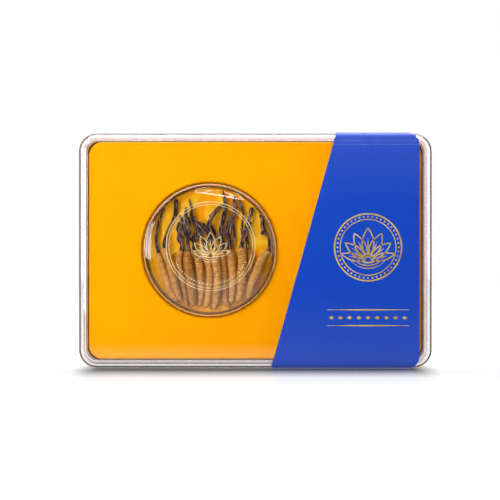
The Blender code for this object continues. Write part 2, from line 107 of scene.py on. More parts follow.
def joinRings(shape, rings):
    # the last vertex of each ring joins on to its first
    for first, second in zip(rings, rings[1:]):
        for i in range(len(first)):
            j = (i + 1) % len(first)
            shape.faces.new((first[i], first[j], second[j], second[i]))


def sweptShell(name, size, corner, profile, middle, steps):
    # a wall whose profile of (inset, y) runs around a rectangle with round corners
    shape = bmesh.new()
    rings = []
    for inset, y in profile:
        outline = roundedOutline(size[0], size[1], corner, inset, steps)
        rings.append([shape.verts.new((middle[0] + x, y, middle[1] + z)) for x, z in outline])
    joinRings(shape, rings)
    shape.faces.new(rings[0])
    shape.faces.new(rings[-1])
    bmesh.ops.recalc_face_normals(shape, faces=shape.faces)
    return meshFrom(name, shape)


def roundRing(shape, middle, angles, radius, y):
    return [
        shape.verts.new((middle[0] + radius * math.cos(a), y, middle[1] + radius * math.sin(a)))
        for a in angles
    ]


def turnedShape(profile, steps, place):
    # a round piece from a profile of (radius, height), heights running forwards from place
    shape = bmesh.new()
    turns = [2 * math.pi * i / steps for i in range(steps)]
    rings = []
    for radius, height in profile:
        y = place[1] - height
        if radius == 0:
            rings.append([shape.verts.new((place[0], y, place[2]))])
            continue
        rings.append(roundRing(shape, (place[0], place[2]), turns, radius, y))
    for first, second in zip(rings, rings[1:]):
        if len(first) == 1 or len(second) == 1:
            pole, ring = (first, second) if len(first) == 1 else (second, first)
            for i in range(steps):
                shape.faces.new((pole[0], ring[i], ring[(i + 1) % steps]))
        else:
            joinRings(shape, [first, second])
    bmesh.ops.recalc_face_normals(shape, faces=shape.faces)
    return shape


# General helpers for node trees

def isSocket(value):
    return isinstance(value, bpy.types.NodeSocket)


def treeOf(*values):
    return next(value.id_data for value in values if isSocket(value))


def feed(node, name, socket):
    node.id_data.links.new(socket, node.inputs[name])


def addNode(tree, kind, settings=None, inputs=None):
    # an input is linked where it is given a socket, and otherwise set
    node = tree.nodes.new(kind)
    for name, value in (settings or {}).items():
        setattr(node, name, value)
    for name, value in (inputs or {}).items():
        if isSocket(value):
            feed(node, name, value)
        else:
            node.inputs[name].default_value = value
    return node


def calc(operation, *values):
    # a Math node, whose inputs are numbers or sockets
    tree = treeOf(*values)
    return addNode(tree, "ShaderNodeMath", {"operation": operation}, dict(enumerate(values))).outputs[0]


def plus(first, *others):
    for other in others:
        first = calc("ADD", first, other)
    return first


def minus(first, second):
    return calc("SUBTRACT", first, second)


def times(first, second):
    return calc("MULTIPLY", first, second)


def ridges(value):
    # a row of round ridges, one to each whole step of the value
    return calc("ABSOLUTE", calc("SINE", times(value, math.pi)))


def mapped(value, fromMin, fromMax, toMin=0.0, toMax=1.0):
    return addNode(treeOf(value), "ShaderNodeMapRange", {"clamp": True}, {
        "Value": value, "From Min": fromMin, "From Max": fromMax, "To Min": toMin, "To Max": toMax,
    }).outputs["Result"]


def mixed(share, first, second):
    # a Mix node for colours, whose inputs are colours or sockets
    first, second = (value if isSocket(value) else (*value, 1.0) for value in (first, second))
    inputs = {0: share, 6: first, 7: second}
    return addNode(treeOf(share), "ShaderNodeMix", {"data_type": "RGBA"}, inputs).outputs[2]


def colourRamp(share, stops):
    node = addNode(treeOf(share), "ShaderNodeValToRGB", inputs={"Fac": share})
    elements = node.color_ramp.elements
    while len(elements) < len(stops):
        elements.new(0.5)
    for element, (position, colour) in zip(elements, stops):
        element.position = position
        element.color = (*colour, 1.0)
    return node.outputs["Color"]


def noiseValue(vector, scale, detail=2.0, roughness=0.5):
    return addNode(treeOf(vector), "ShaderNodeTexNoise", inputs={
        "Vector": vector, "Scale": scale, "Detail": detail, "Roughness": roughness,
    }).outputs["Fac"]


def axisOf(vector, axis):
    return addNode(treeOf(vector), "ShaderNodeSeparateXYZ", inputs={"Vector": vector}).outputs[axis]


def joinAxes(axes):
    return addNode(treeOf(*axes.values()), "ShaderNodeCombineXYZ", inputs=axes).outputs[0]


def objectPlace(tree, stretch=(1.0, 1.0, 1.0)):
    place = addNode(tree, "ShaderNodeTexCoord").outputs["Object"]
    return addNode(tree, "ShaderNodeMapping", inputs={"Vector": place, "Scale": stretch}).outputs[0]


def attributeValue(tree, name):
    return addNode(tree, "ShaderNodeAttribute", {"attribute_name": name}).outputs["Fac"]


def newGroup(name, kind, inputs, outputs):
    tree = bpy.data.node_groups.new(name, kind)
    for label, socket, value in inputs:
        item = tree.interface.new_socket(label, in_out="INPUT", socket_type=socket)
        if value is not None:
            item.default_value = value
    for label, socket in outputs:
        tree.interface.new_socket(label, in_out="OUTPUT", socket_type=socket)
    return tree, tree.nodes.new("NodeGroupInput"), tree.nodes.new("NodeGroupOutput")


def placeGroup(tree, group, inputs):
    return addNode(tree, "ShaderNodeGroup", {"node_tree": group}, inputs)


def newMaterial(name, values):
    material = bpy.data.materials.new(name)
    material.use_nodes = True
    tree = material.node_tree
    shader = tree.nodes["Principled BSDF"]
    for socket, value in values.items():
        shader.inputs[socket].default_value = value
    return material, tree, shader


def addBump(shader, height, distance, strength):
    bump = addNode(shader.id_data, "ShaderNodeBump", inputs={
        "Height": height, "Distance": distance, "Strength": strength,
    })
    feed(shader, "Normal", bump.outputs["Normal"])


def blendShaders(share, first, second):
    # a Mix Shader; its share is a number or a socket
    inputs = {0: share, 1: first.outputs[0], 2: second.outputs[0]}
    return addNode(first.id_data, "ShaderNodeMixShader", inputs=inputs)


def showShader(tree, node):
    feed(tree.nodes["Material Output"], "Surface", node.outputs[0])


# Shader groups that several finishes share

threads = {
    "step": 2.0,
    "knotRound": 0.35,
    "slubsAcross": 900.0,
    "slubsAlong": 12.0,
}

wear = {
    "turns": (0.35, 1.2, 2.3),
    "scratchStretch": 0.06,
    "speckScale": 12.0,
    "speckSize": 0.12,
}


def makeWeaveGroup():
    # woven threads: how high they stand, and how their colour varies from thread to thread
    group, enter, leave = newGroup(
        "wovenThreads",
        "ShaderNodeTree",
        [
            ("Threads Per Metre", "NodeSocketFloat", 3000.0),
            ("Float Length", "NodeSocketFloat", 5.0),
            ("Slub", "NodeSocketFloat", 0.3),
        ],
        [("Height", "NodeSocketFloat"), ("Tone", "NodeSocketFloat")],
    )
    place = addNode(group, "ShaderNodeTexCoord").outputs["Object"]
    across = plus(axisOf(place, "X"), axisOf(place, "Y"))
    along = plus(axisOf(place, "Z"), axisOf(place, "Y"))
    u = times(across, enter.outputs["Threads Per Metre"])
    v = times(along, enter.outputs["Threads Per Metre"])
    lifted = plus(v, times(calc("FLOOR", u), threads["step"]))
    knot = ridges(calc("DIVIDE", lifted, enter.outputs["Float Length"]))
    feed(leave, "Height", times(ridges(u), calc("POWER", knot, threads["knotRound"])))
    thread = joinAxes({"X": times(across, threads["slubsAcross"]), "Y": times(along, threads["slubsAlong"])})
    slub = minus(noiseValue(thread, 1.0, 3.0, 0.6), 0.5)
    feed(leave, "Tone", plus(times(slub, enter.outputs["Slub"]), 0.5))
    return group


def makeHandlingGroup():
    # faint wear: long hairline scratches and small dull specks
    group, enter, leave = newGroup(
        "handlingMarks",
        "ShaderNodeTree",
        [("Scale", "NodeSocketFloat", 60.0), ("Scratch Width", "NodeSocketFloat", 0.02)],
        [("Scratches", "NodeSocketFloat"), ("Specks", "NodeSocketFloat")],
    )
    place = addNode(group, "ShaderNodeTexCoord").outputs["Object"]
    marks = []
    for turn in wear["turns"]:
        turned = addNode(group, "ShaderNodeMapping", inputs={
            "Vector": place,
            "Rotation": (turn, turn * 0.7, turn * 1.3),
            "Scale": (1.0, wear["scratchStretch"], wear["scratchStretch"]),
        })
        near = calc("ABSOLUTE", minus(noiseValue(turned.outputs[0], enter.outputs["Scale"], 1.0), 0.5))
        marks.append(calc("LESS_THAN", near, times(enter.outputs["Scratch Width"], 0.1)))
    feed(leave, "Scratches", calc("MAXIMUM", calc("MAXIMUM", marks[0], marks[1]), marks[2]))
    specks = addNode(group, "ShaderNodeTexVoronoi", {"feature": "F1"}, {
        "Vector": place, "Scale": times(enter.outputs["Scale"], wear["speckScale"]),
    })
    feed(leave, "Specks", calc("LESS_THAN", specks.outputs["Distance"], wear["speckSize"]))
    return group


weaveGroup = makeWeaveGroup()
handlingGroup = makeHandlingGroup()


# Camera, light and floor

view = {
    "place": (-3.48 * mm, -1420 * mm, 76.76 * mm),
    "lens": 156.3,
    "sensor": 36.0,
}

studio = {
    "floorSize": 3.0,
    "floorColour": (0.19, 0.19, 0.19, 1.0),
    "floorGloss": 0.17,
    "floorRoughness": 0.11,
    "floorBounce": 0.3,
    "shadowWide": 0.101,
    "shadowDeep": 0.020,
    "shadowFallSide": 6.0,
    "shadowFallBack": 2.2,
    "glowRange": (0.010, 0.100),
    "glowNear": 0.73,
    "glowFar": 0.95,
    "glowBehind": (-0.03, 0.03),
    "glowAhead": (-0.24, -0.15),
    "ambient": 0.12,
    "brightInGloss": 0.85,
    "sideInGloss": 3.5,
    "sideRange": (-0.6, -0.1),
    "screenRange": (0.3, 0.85),
    "screenInGloss": 0.003,
    "darkFloorRange": (-0.40, -0.15),
    "darkInGloss": 0.008,
    "glossColour": (0.92, 0.88, 0.97),
}

# Each softbox: place, point that it faces, width and height in metres, roll in degrees, power in watts
softboxes = {
    "keySoftbox": ((-0.75, -1.00, 0.75), (0.0, 0.0, 0.07), (0.30, 0.30), 0.0, 3.0),
    "sideSoftbox": ((-0.665, -0.754, 0.156), (-0.03, -0.02, 0.077), (0.44, 0.305), 0.0, 5.2),
    "fillSoftbox": ((1.0, -1.1, 0.3), (0.0, 0.0, 0.07), (0.8, 0.8), 0.0, 2.5),
    "stripSoftbox": ((0.03, -0.91, 0.498), (-0.03, -0.02, 0.077), (0.385, 0.010), -10.5, 0.27),
    "topSoftbox": ((0.0, 0.56, 1.2), (0.0, 0.56, 0.0), (1.6, 0.75), 0.0, 22.0),
}


def makeCamera():
    data = bpy.data.cameras.new("camera")
    data.lens = view["lens"]
    data.sensor_width = view["sensor"]
    data.clip_end = 20.0
    camera = bpy.data.objects.new("camera", data)
    camera.location = view["place"]
    camera.rotation_euler = (math.radians(90), 0, 0)
    bpy.context.scene.collection.objects.link(camera)
    bpy.context.scene.camera = camera


def makeSoftbox(name, place, target, size, roll, power):
    data = bpy.data.lights.new(name, "AREA")
    data.shape = "RECTANGLE"
    data.size, data.size_y = size
    data.energy = power
    lamp = bpy.data.objects.new(name, data)
    lamp.location = place
    facing = (Vector(target) - Vector(place)).to_track_quat("-Z", "Y")
    lamp.rotation_euler = (facing @ Quaternion((0, 0, 1), math.radians(roll))).to_euler()
    lamp.visible_camera = False
    bpy.context.scene.collection.objects.link(lamp)


def makeWorld():
    # white behind everything and softer as light on surfaces; in reflections it is bright at the sides
    # and the back and dark at the front, as in a studio with a black screen around the camera
    world = bpy.data.worlds.new("studio")
    bpy.context.scene.world = world
    world.use_nodes = True
    tree = world.node_tree
    path = addNode(tree, "ShaderNodeLightPath")
    bounced = calc("MINIMUM", path.outputs["Diffuse Depth"], 1.0)
    mirrored = calc("MINIMUM", path.outputs["Glossy Depth"], 1.0)
    forwards = times(axisOf(addNode(tree, "ShaderNodeTexCoord").outputs["Generated"], "Y"), -1.0)
    beside = mapped(forwards, *studio["sideRange"], studio["brightInGloss"], studio["sideInGloss"])
    inGloss = times(beside, mapped(forwards, *studio["screenRange"], 1.0, studio["screenInGloss"]))
    direct = minus(1.0, calc("MAXIMUM", bounced, mirrored))
    soft = times(bounced, studio["ambient"])
    gloss = times(times(mirrored, inGloss), minus(1.0, bounced))
    background = tree.nodes["Background"]
    feed(background, "Color", mixed(mirrored, (1.0, 1.0, 1.0), studio["glossColour"]))
    feed(background, "Strength", calc("MAXIMUM", calc("MAXIMUM", direct, soft), gloss))


def shadowReach(spot):
    # how far a spot on the floor is outside the painted shadow around the case
    back = axisOf(spot, "Y")
    sideways = calc("MAXIMUM", minus(calc("ABSOLUTE", axisOf(spot, "X")), studio["shadowWide"]), 0.0)
    inFront = minus(times(back, -1.0), studio["shadowDeep"])
    inBack = times(minus(back, studio["shadowDeep"]), studio["shadowFallBack"])
    away = joinAxes({
        "X": times(sideways, studio["shadowFallSide"]),
        "Y": calc("MAXIMUM", calc("MAXIMUM", inFront, inBack), 0.0),
    })
    return addNode(treeOf(away), "ShaderNodeVectorMath", {"operation": "LENGTH"}, {0: away}).outputs["Value"]


def makeFloor():
    material, tree, shader = newMaterial("paleFloor", {})
    tree.nodes.remove(shader)
    matt = addNode(tree, "ShaderNodeBsdfDiffuse", inputs={"Color": studio["floorColour"]})
    shine = addNode(tree, "ShaderNodeBsdfGlossy", inputs={"Roughness": studio["floorRoughness"]})
    both = blendShaders(studio["floorGloss"], matt, shine)
    # the floor glows up to the white of the background, except in a painted shadow around the case
    path = addNode(tree, "ShaderNodeLightPath")
    spot = addNode(tree, "ShaderNodeTexCoord").outputs["Object"]
    back = axisOf(spot, "Y")
    near, far = studio["glowNear"], studio["glowFar"]
    behind = mapped(back, *studio["glowBehind"], near, far)
    ahead = mapped(back, *studio["glowAhead"], far, near)
    dimmed = mapped(path.outputs["Diffuse Depth"], 0.0, 1.0, 1.0, studio["floorBounce"])
    seen = times(calc("MAXIMUM", behind, ahead), dimmed)
    glow = times(mapped(shadowReach(spot), *studio["glowRange"]), seen)
    white = addNode(tree, "ShaderNodeEmission", inputs={"Strength": glow})
    lit = addNode(tree, "ShaderNodeAddShader", inputs={0: both.outputs[0], 1: white.outputs[0]})
    # far in front it is dark in reflections, so that the flat plastic stays clear
    dim = addNode(tree, "ShaderNodeEmission", inputs={
        "Strength": mapped(back, *studio["darkFloorRange"], studio["darkInGloss"], studio["brightInGloss"]),
    })
    mirrored = calc("GREATER_THAN", path.outputs["Glossy Depth"], 0.5)
    showShader(tree, blendShaders(mirrored, lit, dim))
    shape = bmesh.new()
    bmesh.ops.create_grid(shape, x_segments=1, y_segments=1, size=studio["floorSize"])
    floor = addPiece("floor", meshFrom("floor", shape), [material])


makeCamera()
makeWorld()
makeFloor()
for softboxName, softboxValues in softboxes.items():
    makeSoftbox(softboxName, *softboxValues)
bpy.context.scene.view_settings.view_transform = "Standard"
print("camera, light and floor are set")


# Clear case: the front tray slides over a rim on the back tray

caseLow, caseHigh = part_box("case_lid")
backLow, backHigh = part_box("case_base")
case = {
    "corner": 11.5 * mm,
    "edge": 5.5 * mm,
    "wall": 2.0 * mm,
    "gap": 0.3 * mm,
    "lip": 0.25 * mm,
    "cornerSteps": 16,
    "edgeSteps": 10,
    "flatMargin": 1.0 * mm,
}
caseSize = (caseHigh.x - caseLow.x, caseHigh.z - caseLow.z)
caseMiddle = (0.0, (caseHigh.z + caseLow.z) / 2)

plastic = {
    "colour": (0.985, 0.98, 0.99, 1.0),
    "shadow": (0.97, 0.965, 0.97),
    "caseWallShadow": (0.88, 0.87, 0.88),
    "capsuleWallShadow": (0.52, 0.45, 0.40),
    "flatRange": (0.4, 0.9),
    "ior": 1.49,
    "roughness": 0.015,
    "waviness": 0.02 * mm,
    "waveScale": 28.0,
    "scratches": {"Scale": 45.0, "Scratch Width": 0.012},
    "scratchDepth": 0.04,
}


def makeClearPlastic(name, wallShadow):
    material, tree, shader = newMaterial(name, {
        "Base Color": plastic["colour"],
        "Roughness": plastic["roughness"],
        "IOR": plastic["ior"],
        "Transmission Weight": 1.0,
    })
    marks = placeGroup(tree, handlingGroup, plastic["scratches"])
    swell = noiseValue(objectPlace(tree), plastic["waveScale"], 1.0)
    height = minus(swell, times(marks.outputs["Scratches"], plastic["scratchDepth"]))
    addBump(shader, height, plastic["waviness"], 0.35)
    # lamps shine through: less through the walls, which face sideways
    normal = addNode(tree, "ShaderNodeNewGeometry").outputs["True Normal"]
    flat = mapped(calc("ABSOLUTE", axisOf(normal, "Y")), *plastic["flatRange"])
    tint = mixed(flat, wallShadow, plastic["shadow"])
    letThrough = addNode(tree, "ShaderNodeBsdfTransparent", inputs={"Color": tint})
    path = addNode(tree, "ShaderNodeLightPath")
    showShader(tree, blendShaders(path.outputs["Is Shadow Ray"], shader, letThrough))
    return material


def edgeArc(radius, face, inwards):
    # a tray's rounded edge as (inset, y), from its flat face to its wall
    edge = case["edge"]
    turns = quarterTurns(case["edgeSteps"])
    return [(edge - radius * math.sin(t), face + inwards * (edge - radius * math.cos(t))) for t in turns]


def makeTray(name, profile, node, material):
    mesh = sweptShell(name, caseSize, case["corner"], profile, caseMiddle, case["cornerSteps"])
    keepPiece(addPiece(name, mesh, [material]), [node])


def makeFrontTray(material):
    edge, wall, margin, lip = case["edge"], case["wall"], case["flatMargin"], case["lip"]
    front = caseLow.y
    profile = [
        (edge + margin, front),
        *edgeArc(edge, front, 1),
        (0, caseHigh.y - lip),
        (lip, caseHigh.y),
        (wall - lip, caseHigh.y),
        (wall, caseHigh.y - lip),
        *reversed(edgeArc(edge - wall, front, 1)),
        (edge + margin, front + wall),
    ]
    makeTray("clear_front_tray", profile, "case_lid", material)


def makeBackTray(material):
    edge, wall, margin, lip = case["edge"], case["wall"], case["flatMargin"], case["lip"]
    back = backHigh.y
    shoulder = caseHigh.y + case["gap"]
    step = wall + case["gap"]
    profile = [
        (edge + margin, back),
        *edgeArc(edge, back, -1),
        (0, shoulder + lip),
        (lip, shoulder),
        (step, shoulder),
        (step, backLow.y + lip),
        (step + lip, backLow.y),
        (step + wall - lip, backLow.y),
        (step + wall, backLow.y + lip),
        (step + wall, shoulder + wall),
        (wall, shoulder + wall),
        *reversed(edgeArc(edge - wall, back, -1)),
        (edge + margin, back - wall),
    ]
    makeTray("clear_back_tray", profile, "case_base", material)


casePlastic = makeClearPlastic("caseClearPlastic", plastic["caseWallShadow"])
capsulePlastic = makeClearPlastic("capsuleClearPlastic", plastic["capsuleWallShadow"])
makeFrontTray(casePlastic)
makeBackTray(casePlastic)
print("clear trays are made")


# Satin insert with the capsule's recess

insertLow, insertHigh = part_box("insert")
cupLow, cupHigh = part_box("capsule_base")
padLow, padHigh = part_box("capsule_pad")
capsuleX = (cupLow.x + cupHigh.x) / 2
capsuleZ = (cupLow.z + cupHigh.z) / 2
capsuleRadius = (cupHigh.x - cupLow.x) / 2
insert = {
    "corner": 9.0 * mm,
    "edge": 1.5 * mm,
    "edgeSteps": 5,
    "recessDepth": 10.7 * mm,
    "recessPlay": 0.4 * mm,
    "recessFoot": 0.5 * mm,
    "cornerSteps": 14,
    "sideSteps": 26,
    "ringSteps": 34,
    "ringSpread": 0.85,
    "swell": 0.12 * mm,
    "pull": 0.10 * mm,
    "tightShare": 0.2,
    "backInset": 4.5 * mm,
    "hemDepth": 6.0 * mm,
    "hemSize": (219.2 * mm, 142.4 * mm),
    "hemCorner": 7.2 * mm,
    "hemRound": 0.4 * mm,
    "hemTuck": 0.1 * mm,
    "gapMargin": 1.0 * mm,
}
recessFloorY = insertLow.y + insert["recessDepth"]
place = (capsuleX, recessFloorY, capsuleZ)
holeRadius = capsuleRadius + insert["recessPlay"]
lipRadius = holeRadius + insert["edge"]

satin = {
    "colour": (1.0, 0.405, 0.0003),
    "deepColour": (0.96, 0.355, 0.0002),
    "gapShadeColour": (0.16, 0.055, 0.004),
    "roughness": 0.5,
    "weave": {"Threads Per Metre": 3600.0, "Float Length": 5.0, "Slub": 0.8},
    "threadRelief": 0.05 * mm,
}


def makeSatin():
    material, tree, shader = newMaterial("yellowSatin", {
        "Specular IOR Level": 0.15,
        "Specular Tint": (1.0, 0.48, 0.01, 1.0),
        "Sheen Weight": 0.05,
        "Sheen Roughness": 0.4,
        "Sheen Tint": (1.0, 0.5, 0.01, 1.0),
    })
    weave = placeGroup(tree, weaveGroup, satin["weave"])
    tone = weave.outputs["Tone"]
    drift = noiseValue(objectPlace(tree, (14.0, 14.0, 4.0)), 1.0, 2.0)
    bands = noiseValue(objectPlace(tree, (3.0, 3.0, 26.0)), 1.0, 1.0)
    share = plus(times(drift, 0.4), times(bands, 0.25), times(tone, 0.35))
    colour = mixed(mapped(share, 0.3, 0.72), satin["deepColour"], satin["colour"])
    # painted shade in the gap around the board, where the cloth lies in shadow
    feed(shader, "Base Color", mixed(attributeValue(tree, "gap"), colour, satin["gapShadeColour"]))
    feed(shader, "Roughness", mapped(tone, 0.2, 0.8, satin["roughness"] - 0.08, satin["roughness"] + 0.08))
    addBump(shader, weave.outputs["Height"], satin["threadRelief"], 0.5)
    return material


def outlineAround(size, corner, inset):
    # points around the insert, closer in the corners, with the straight sides split as well
    rounded = roundedOutline(size[0], size[1], corner, inset, insert["cornerSteps"])
    points = []
    count = insert["cornerSteps"] + 1
    for quarter in range(4):
        turned = rounded[quarter * count:(quarter + 1) * count]
        start = Vector(turned[-1])
        end = Vector(rounded[((quarter + 1) % 4) * count])
        points += turned
        points += [tuple(start.lerp(end, i / insert["sideSteps"])) for i in range(1, insert["sideSteps"])]
    middleX = (insertLow.x + insertHigh.x) / 2
    middleZ = (insertLow.z + insertHigh.z) / 2
    return [(middleX + x, middleZ + z) for x, z in points]


def insertOutline(inset):
    size = (insertHigh.x - insertLow.x, insertHigh.z - insertLow.z)
    return outlineAround(size, insert["corner"], inset)


def hemOutline(inset):
    # a few millimetres behind its face the wrapped board fills the tray's rim
    return outlineAround(insert["hemSize"], insert["hemCorner"], inset)


def insertProfile():
    # outlines and their depths, from the back over the hem and the rounded edge to the face
    edge, back, soft = insert["edge"], insertHigh.y, insert["hemRound"]
    hemFront = insertLow.y + insert["hemDepth"]
    profile = [
        (insertOutline(insert["backInset"]), back),
        (hemOutline(soft), back),
        (hemOutline(0), back - soft),
        (hemOutline(0), hemFront + soft),
        (hemOutline(0.3 * mm), hemFront),
        (insertOutline(0), hemFront + insert["hemTuck"]),
    ]
    for turn in quarterTurns(insert["edgeSteps"]):
        inset, y = edge - edge * math.cos(turn), insertLow.y + edge - edge * math.sin(turn)
        profile.append((insertOutline(inset), y))
    return profile


def satinFace(x, z, inside):
    # the cloth lies a little uneven over the board, and is drawn tight at both of its edges
    loose = smoothShare(inside / insert["tightShare"])
    swell = noise.noise(Vector((x * 30, 0.3, z * 22))) * insert["swell"]
    pulls = noise.noise(Vector((x * 7, 4.0, z * 90))) * insert["pull"]
    return insertLow.y + (swell + pulls) * loose


def faceRing(shape, rim, angles, share):
    # the face's rings change from the board's outline to the round lip of the recess
    ring = []
    for (x, z), angle in zip(rim, angles):
        x += (capsuleX + lipRadius * math.cos(angle) - x) * share
        z += (capsuleZ + lipRadius * math.sin(angle) - z) * share
        ring.append(shape.verts.new((x, satinFace(x, z, min(share, 1 - share)), z)))
    return ring


def paintGapShade(mesh):
    # painted shade: the cloth in the narrow gap around the board is painted dark, as it lies in shadow there
    middle, half = (insertHigh + insertLow) / 2, (insertHigh - insertLow) / 2
    sides = insertLow.y + 2 * insert["edge"]
    back = insertHigh.y - insert["gapMargin"]
    gap = mesh.attributes.new("gap", "FLOAT", "POINT").data
    for vertex in mesh.vertices:
        x, y, z = vertex.co
        onHem = max(abs(x - middle.x) - half.x, abs(z - middle.z) - half.z) > 0.05 * mm
        outside = math.hypot(x - capsuleX, z - capsuleZ) > lipRadius + insert["gapMargin"]
        gap[vertex.index].value = 1.0 if y < back and (onHem or sides < y and outside) else 0.0


def makeInsert(material):
    shape = bmesh.new()
    edge, front = insert["edge"], insertLow.y
    rings = [[shape.verts.new((x, y, z)) for x, z in outline] for outline, y in insertProfile()]
    rim = insertOutline(edge)
    angles = [math.atan2(z - capsuleZ, x - capsuleX) for x, z in rim]
    for step in range(1, insert["ringSteps"] + 1):
        rings.append(faceRing(shape, rim, angles, (step / insert["ringSteps"]) ** insert["ringSpread"]))
    lip = [
        (lipRadius - edge * math.sin(turn), front + edge - edge * math.cos(turn))
        for turn in quarterTurns(insert["edgeSteps"])[1:]
    ]
    foot = insert["recessFoot"]
    for radius, y in [*lip, (holeRadius, recessFloorY - foot), (holeRadius - foot, recessFloorY)]:
        rings.append(roundRing(shape, (capsuleX, capsuleZ), angles, radius, y))
    joinRings(shape, rings)
    shape.faces.new(rings[0])
    shape.faces.new(rings[-1])
    bmesh.ops.recalc_face_normals(shape, faces=shape.faces)
    mesh = meshFrom("satin_insert", shape, 60)
    paintGapShade(mesh)
    piece = addPiece("satin_insert", mesh, [material])
    keepPiece(piece, ["insert"])


makeInsert(makeSatin())
print("satin insert is made")


# Round capsule: cup, domed lid and silk pad

capsule = {
    "gap": 0.3 * mm,
    "cupFloor": 1.6 * mm,
    "cupInside": 41.3 * mm,
    "cupRim": 42.3 * mm,
    "cupRound": 1.0 * mm,
    "footRound": 2.0 * mm,
    "softEdge": 0.2 * mm,
    "rimEdge": 0.3 * mm,
    "shoulder": 9.0 * mm,
    "rim": 12.6 * mm,
    "lidWall": 1.2 * mm,
    "lidCrown": 1.4 * mm,
    "lidHeight": 19.8 * mm,
    "lidRound": 3.0 * mm,
    "lidInnerRound": 2.0 * mm,
    "domeRadius": 187.0 * mm,
    "domeSteps": 24,
    "turnSteps": 160,
}

silk = {
    "stops": [
        (0.12, (1.0, 0.29, 0.0)),
        (0.38, (1.0, 0.41, 0.001)),
        (0.62, (1.0, 0.50, 0.006)),
        (0.9, (1.0, 0.62, 0.06)),
    ],
    "roughness": 0.42,
    "weave": {"Threads Per Metre": 5200.0, "Float Length": 2.0, "Slub": 1.0},
    "threadRelief": 0.03 * mm,
}

pad = {
    "radius": 40.9 * mm,
    "edge": 1.0 * mm,
    "tuck": 2.0 * mm,
    "turnSteps": 200,
    "ringSteps": 70,
    "creaseDepth": 1.1 * mm,
}


def domeLine(apex, radius, reach):
    spread = [reach * i / capsule["domeSteps"] for i in range(capsule["domeSteps"] + 1)]
    return [(r, apex - radius + math.sqrt(radius * radius - r * r)) for r in spread]


def makeTurned(name, profile, node, material):
    mesh = meshFrom(name, turnedShape(profile, capsule["turnSteps"], place))
    keepPiece(addPiece(name, mesh, [material]), [node])


def makeCup(material):
    gap, inside, outside = capsule["gap"], capsule["cupInside"], capsule["cupRim"]
    high, shoulder = capsule["rim"], capsule["shoulder"]
    bend, foot = capsule["cupRound"], capsule["footRound"]
    soft, rimEdge = capsule["softEdge"], capsule["rimEdge"]
    floor = gap + capsule["cupFloor"]
    profile = [
        (0, floor),
        (inside - 2 * bend, floor),
        *arc((inside - bend, floor + bend), bend, -90, 0, 6),
        (inside, high - rimEdge),
        (inside + rimEdge, high),
        (outside - soft, high),
        (outside, high - soft),
        (outside, shoulder),
        (capsuleRadius - soft, shoulder),
        (capsuleRadius, shoulder - soft),
        *arc((capsuleRadius - foot, gap + foot), foot, 0, -90, 8),
        (capsuleRadius - 1.5 * foot, gap),
        (0, gap),
    ]
    makeTurned("clear_cup", profile, "capsule_base", material)


def makeDomeLid(material):
    radius, outer, inner = capsule["domeRadius"], capsule["lidRound"], capsule["lidInnerRound"]
    soft, foot = capsule["softEdge"], capsule["shoulder"] + capsule["gap"]
    outerReach = capsuleRadius - outer
    outerDome = domeLine(capsule["lidHeight"], radius, outerReach)
    slope = 90 - math.degrees(math.asin(outerReach / radius))
    innerEdge = capsuleRadius - capsule["lidWall"]
    innerReach = innerEdge - inner
    innerDome = domeLine(capsule["lidHeight"] - capsule["lidCrown"], radius, innerReach)
    profile = [
        *outerDome,
        *arc((outerReach, outerDome[-1][1] - outer), outer, slope, 0, 10)[1:],
        (capsuleRadius, foot + soft),
        (capsuleRadius - soft, foot),
        (innerEdge + soft, foot),
        (innerEdge, foot + soft),
        *arc((innerReach, innerDome[-1][1] - inner), inner, 0, slope, 8),
        *reversed(innerDome[:-1]),
    ]
    makeTurned("clear_dome_lid", profile, "capsule_lid", material)


def makeSilk():
    material, tree, shader = newMaterial("yellowSilk", {
        "Specular IOR Level": 0.22,
        "Specular Tint": (1.0, 0.72, 0.2, 1.0),
        "Sheen Weight": 0.15,
        "Sheen Tint": (1.0, 0.75, 0.15, 1.0),
    })
    weave = placeGroup(tree, weaveGroup, silk["weave"])
    blotch = noiseValue(objectPlace(tree), 120.0, 3.0)
    # the colour follows the crumples: painted shade, deeper orange in the valleys, and painted highlight,
    # paler on the ridges, over random blotches
    share = plus(times(blotch, 0.35), times(attributeValue(tree, "fold"), 0.65))
    feed(shader, "Base Color", colourRamp(share, silk["stops"]))
    rough = mapped(weave.outputs["Tone"], 0.2, 0.8, silk["roughness"] - 0.1, silk["roughness"] + 0.1)
    feed(shader, "Roughness", rough)
    addBump(shader, weave.outputs["Height"], silk["threadRelief"], 0.5)
    return material


def silkFold(x, z):
    # sharp crumples at two scales, from 0 in a valley to 1 on a ridge
    spot = Vector((x * 95, 7.7, z * 60))
    spot += Vector((noise.noise(spot * 0.5), 0, noise.noise(spot * 0.5 + Vector((9, 9, 9))))) * 1.1
    wide = 1 - abs(noise.noise(spot)) * 2.0
    fine = 1 - abs(noise.noise(spot * 2.6 + Vector((3, 1, 5)))) * 2.0
    return max(0.0, min(1.0, 0.68 * wide + 0.32 * fine))


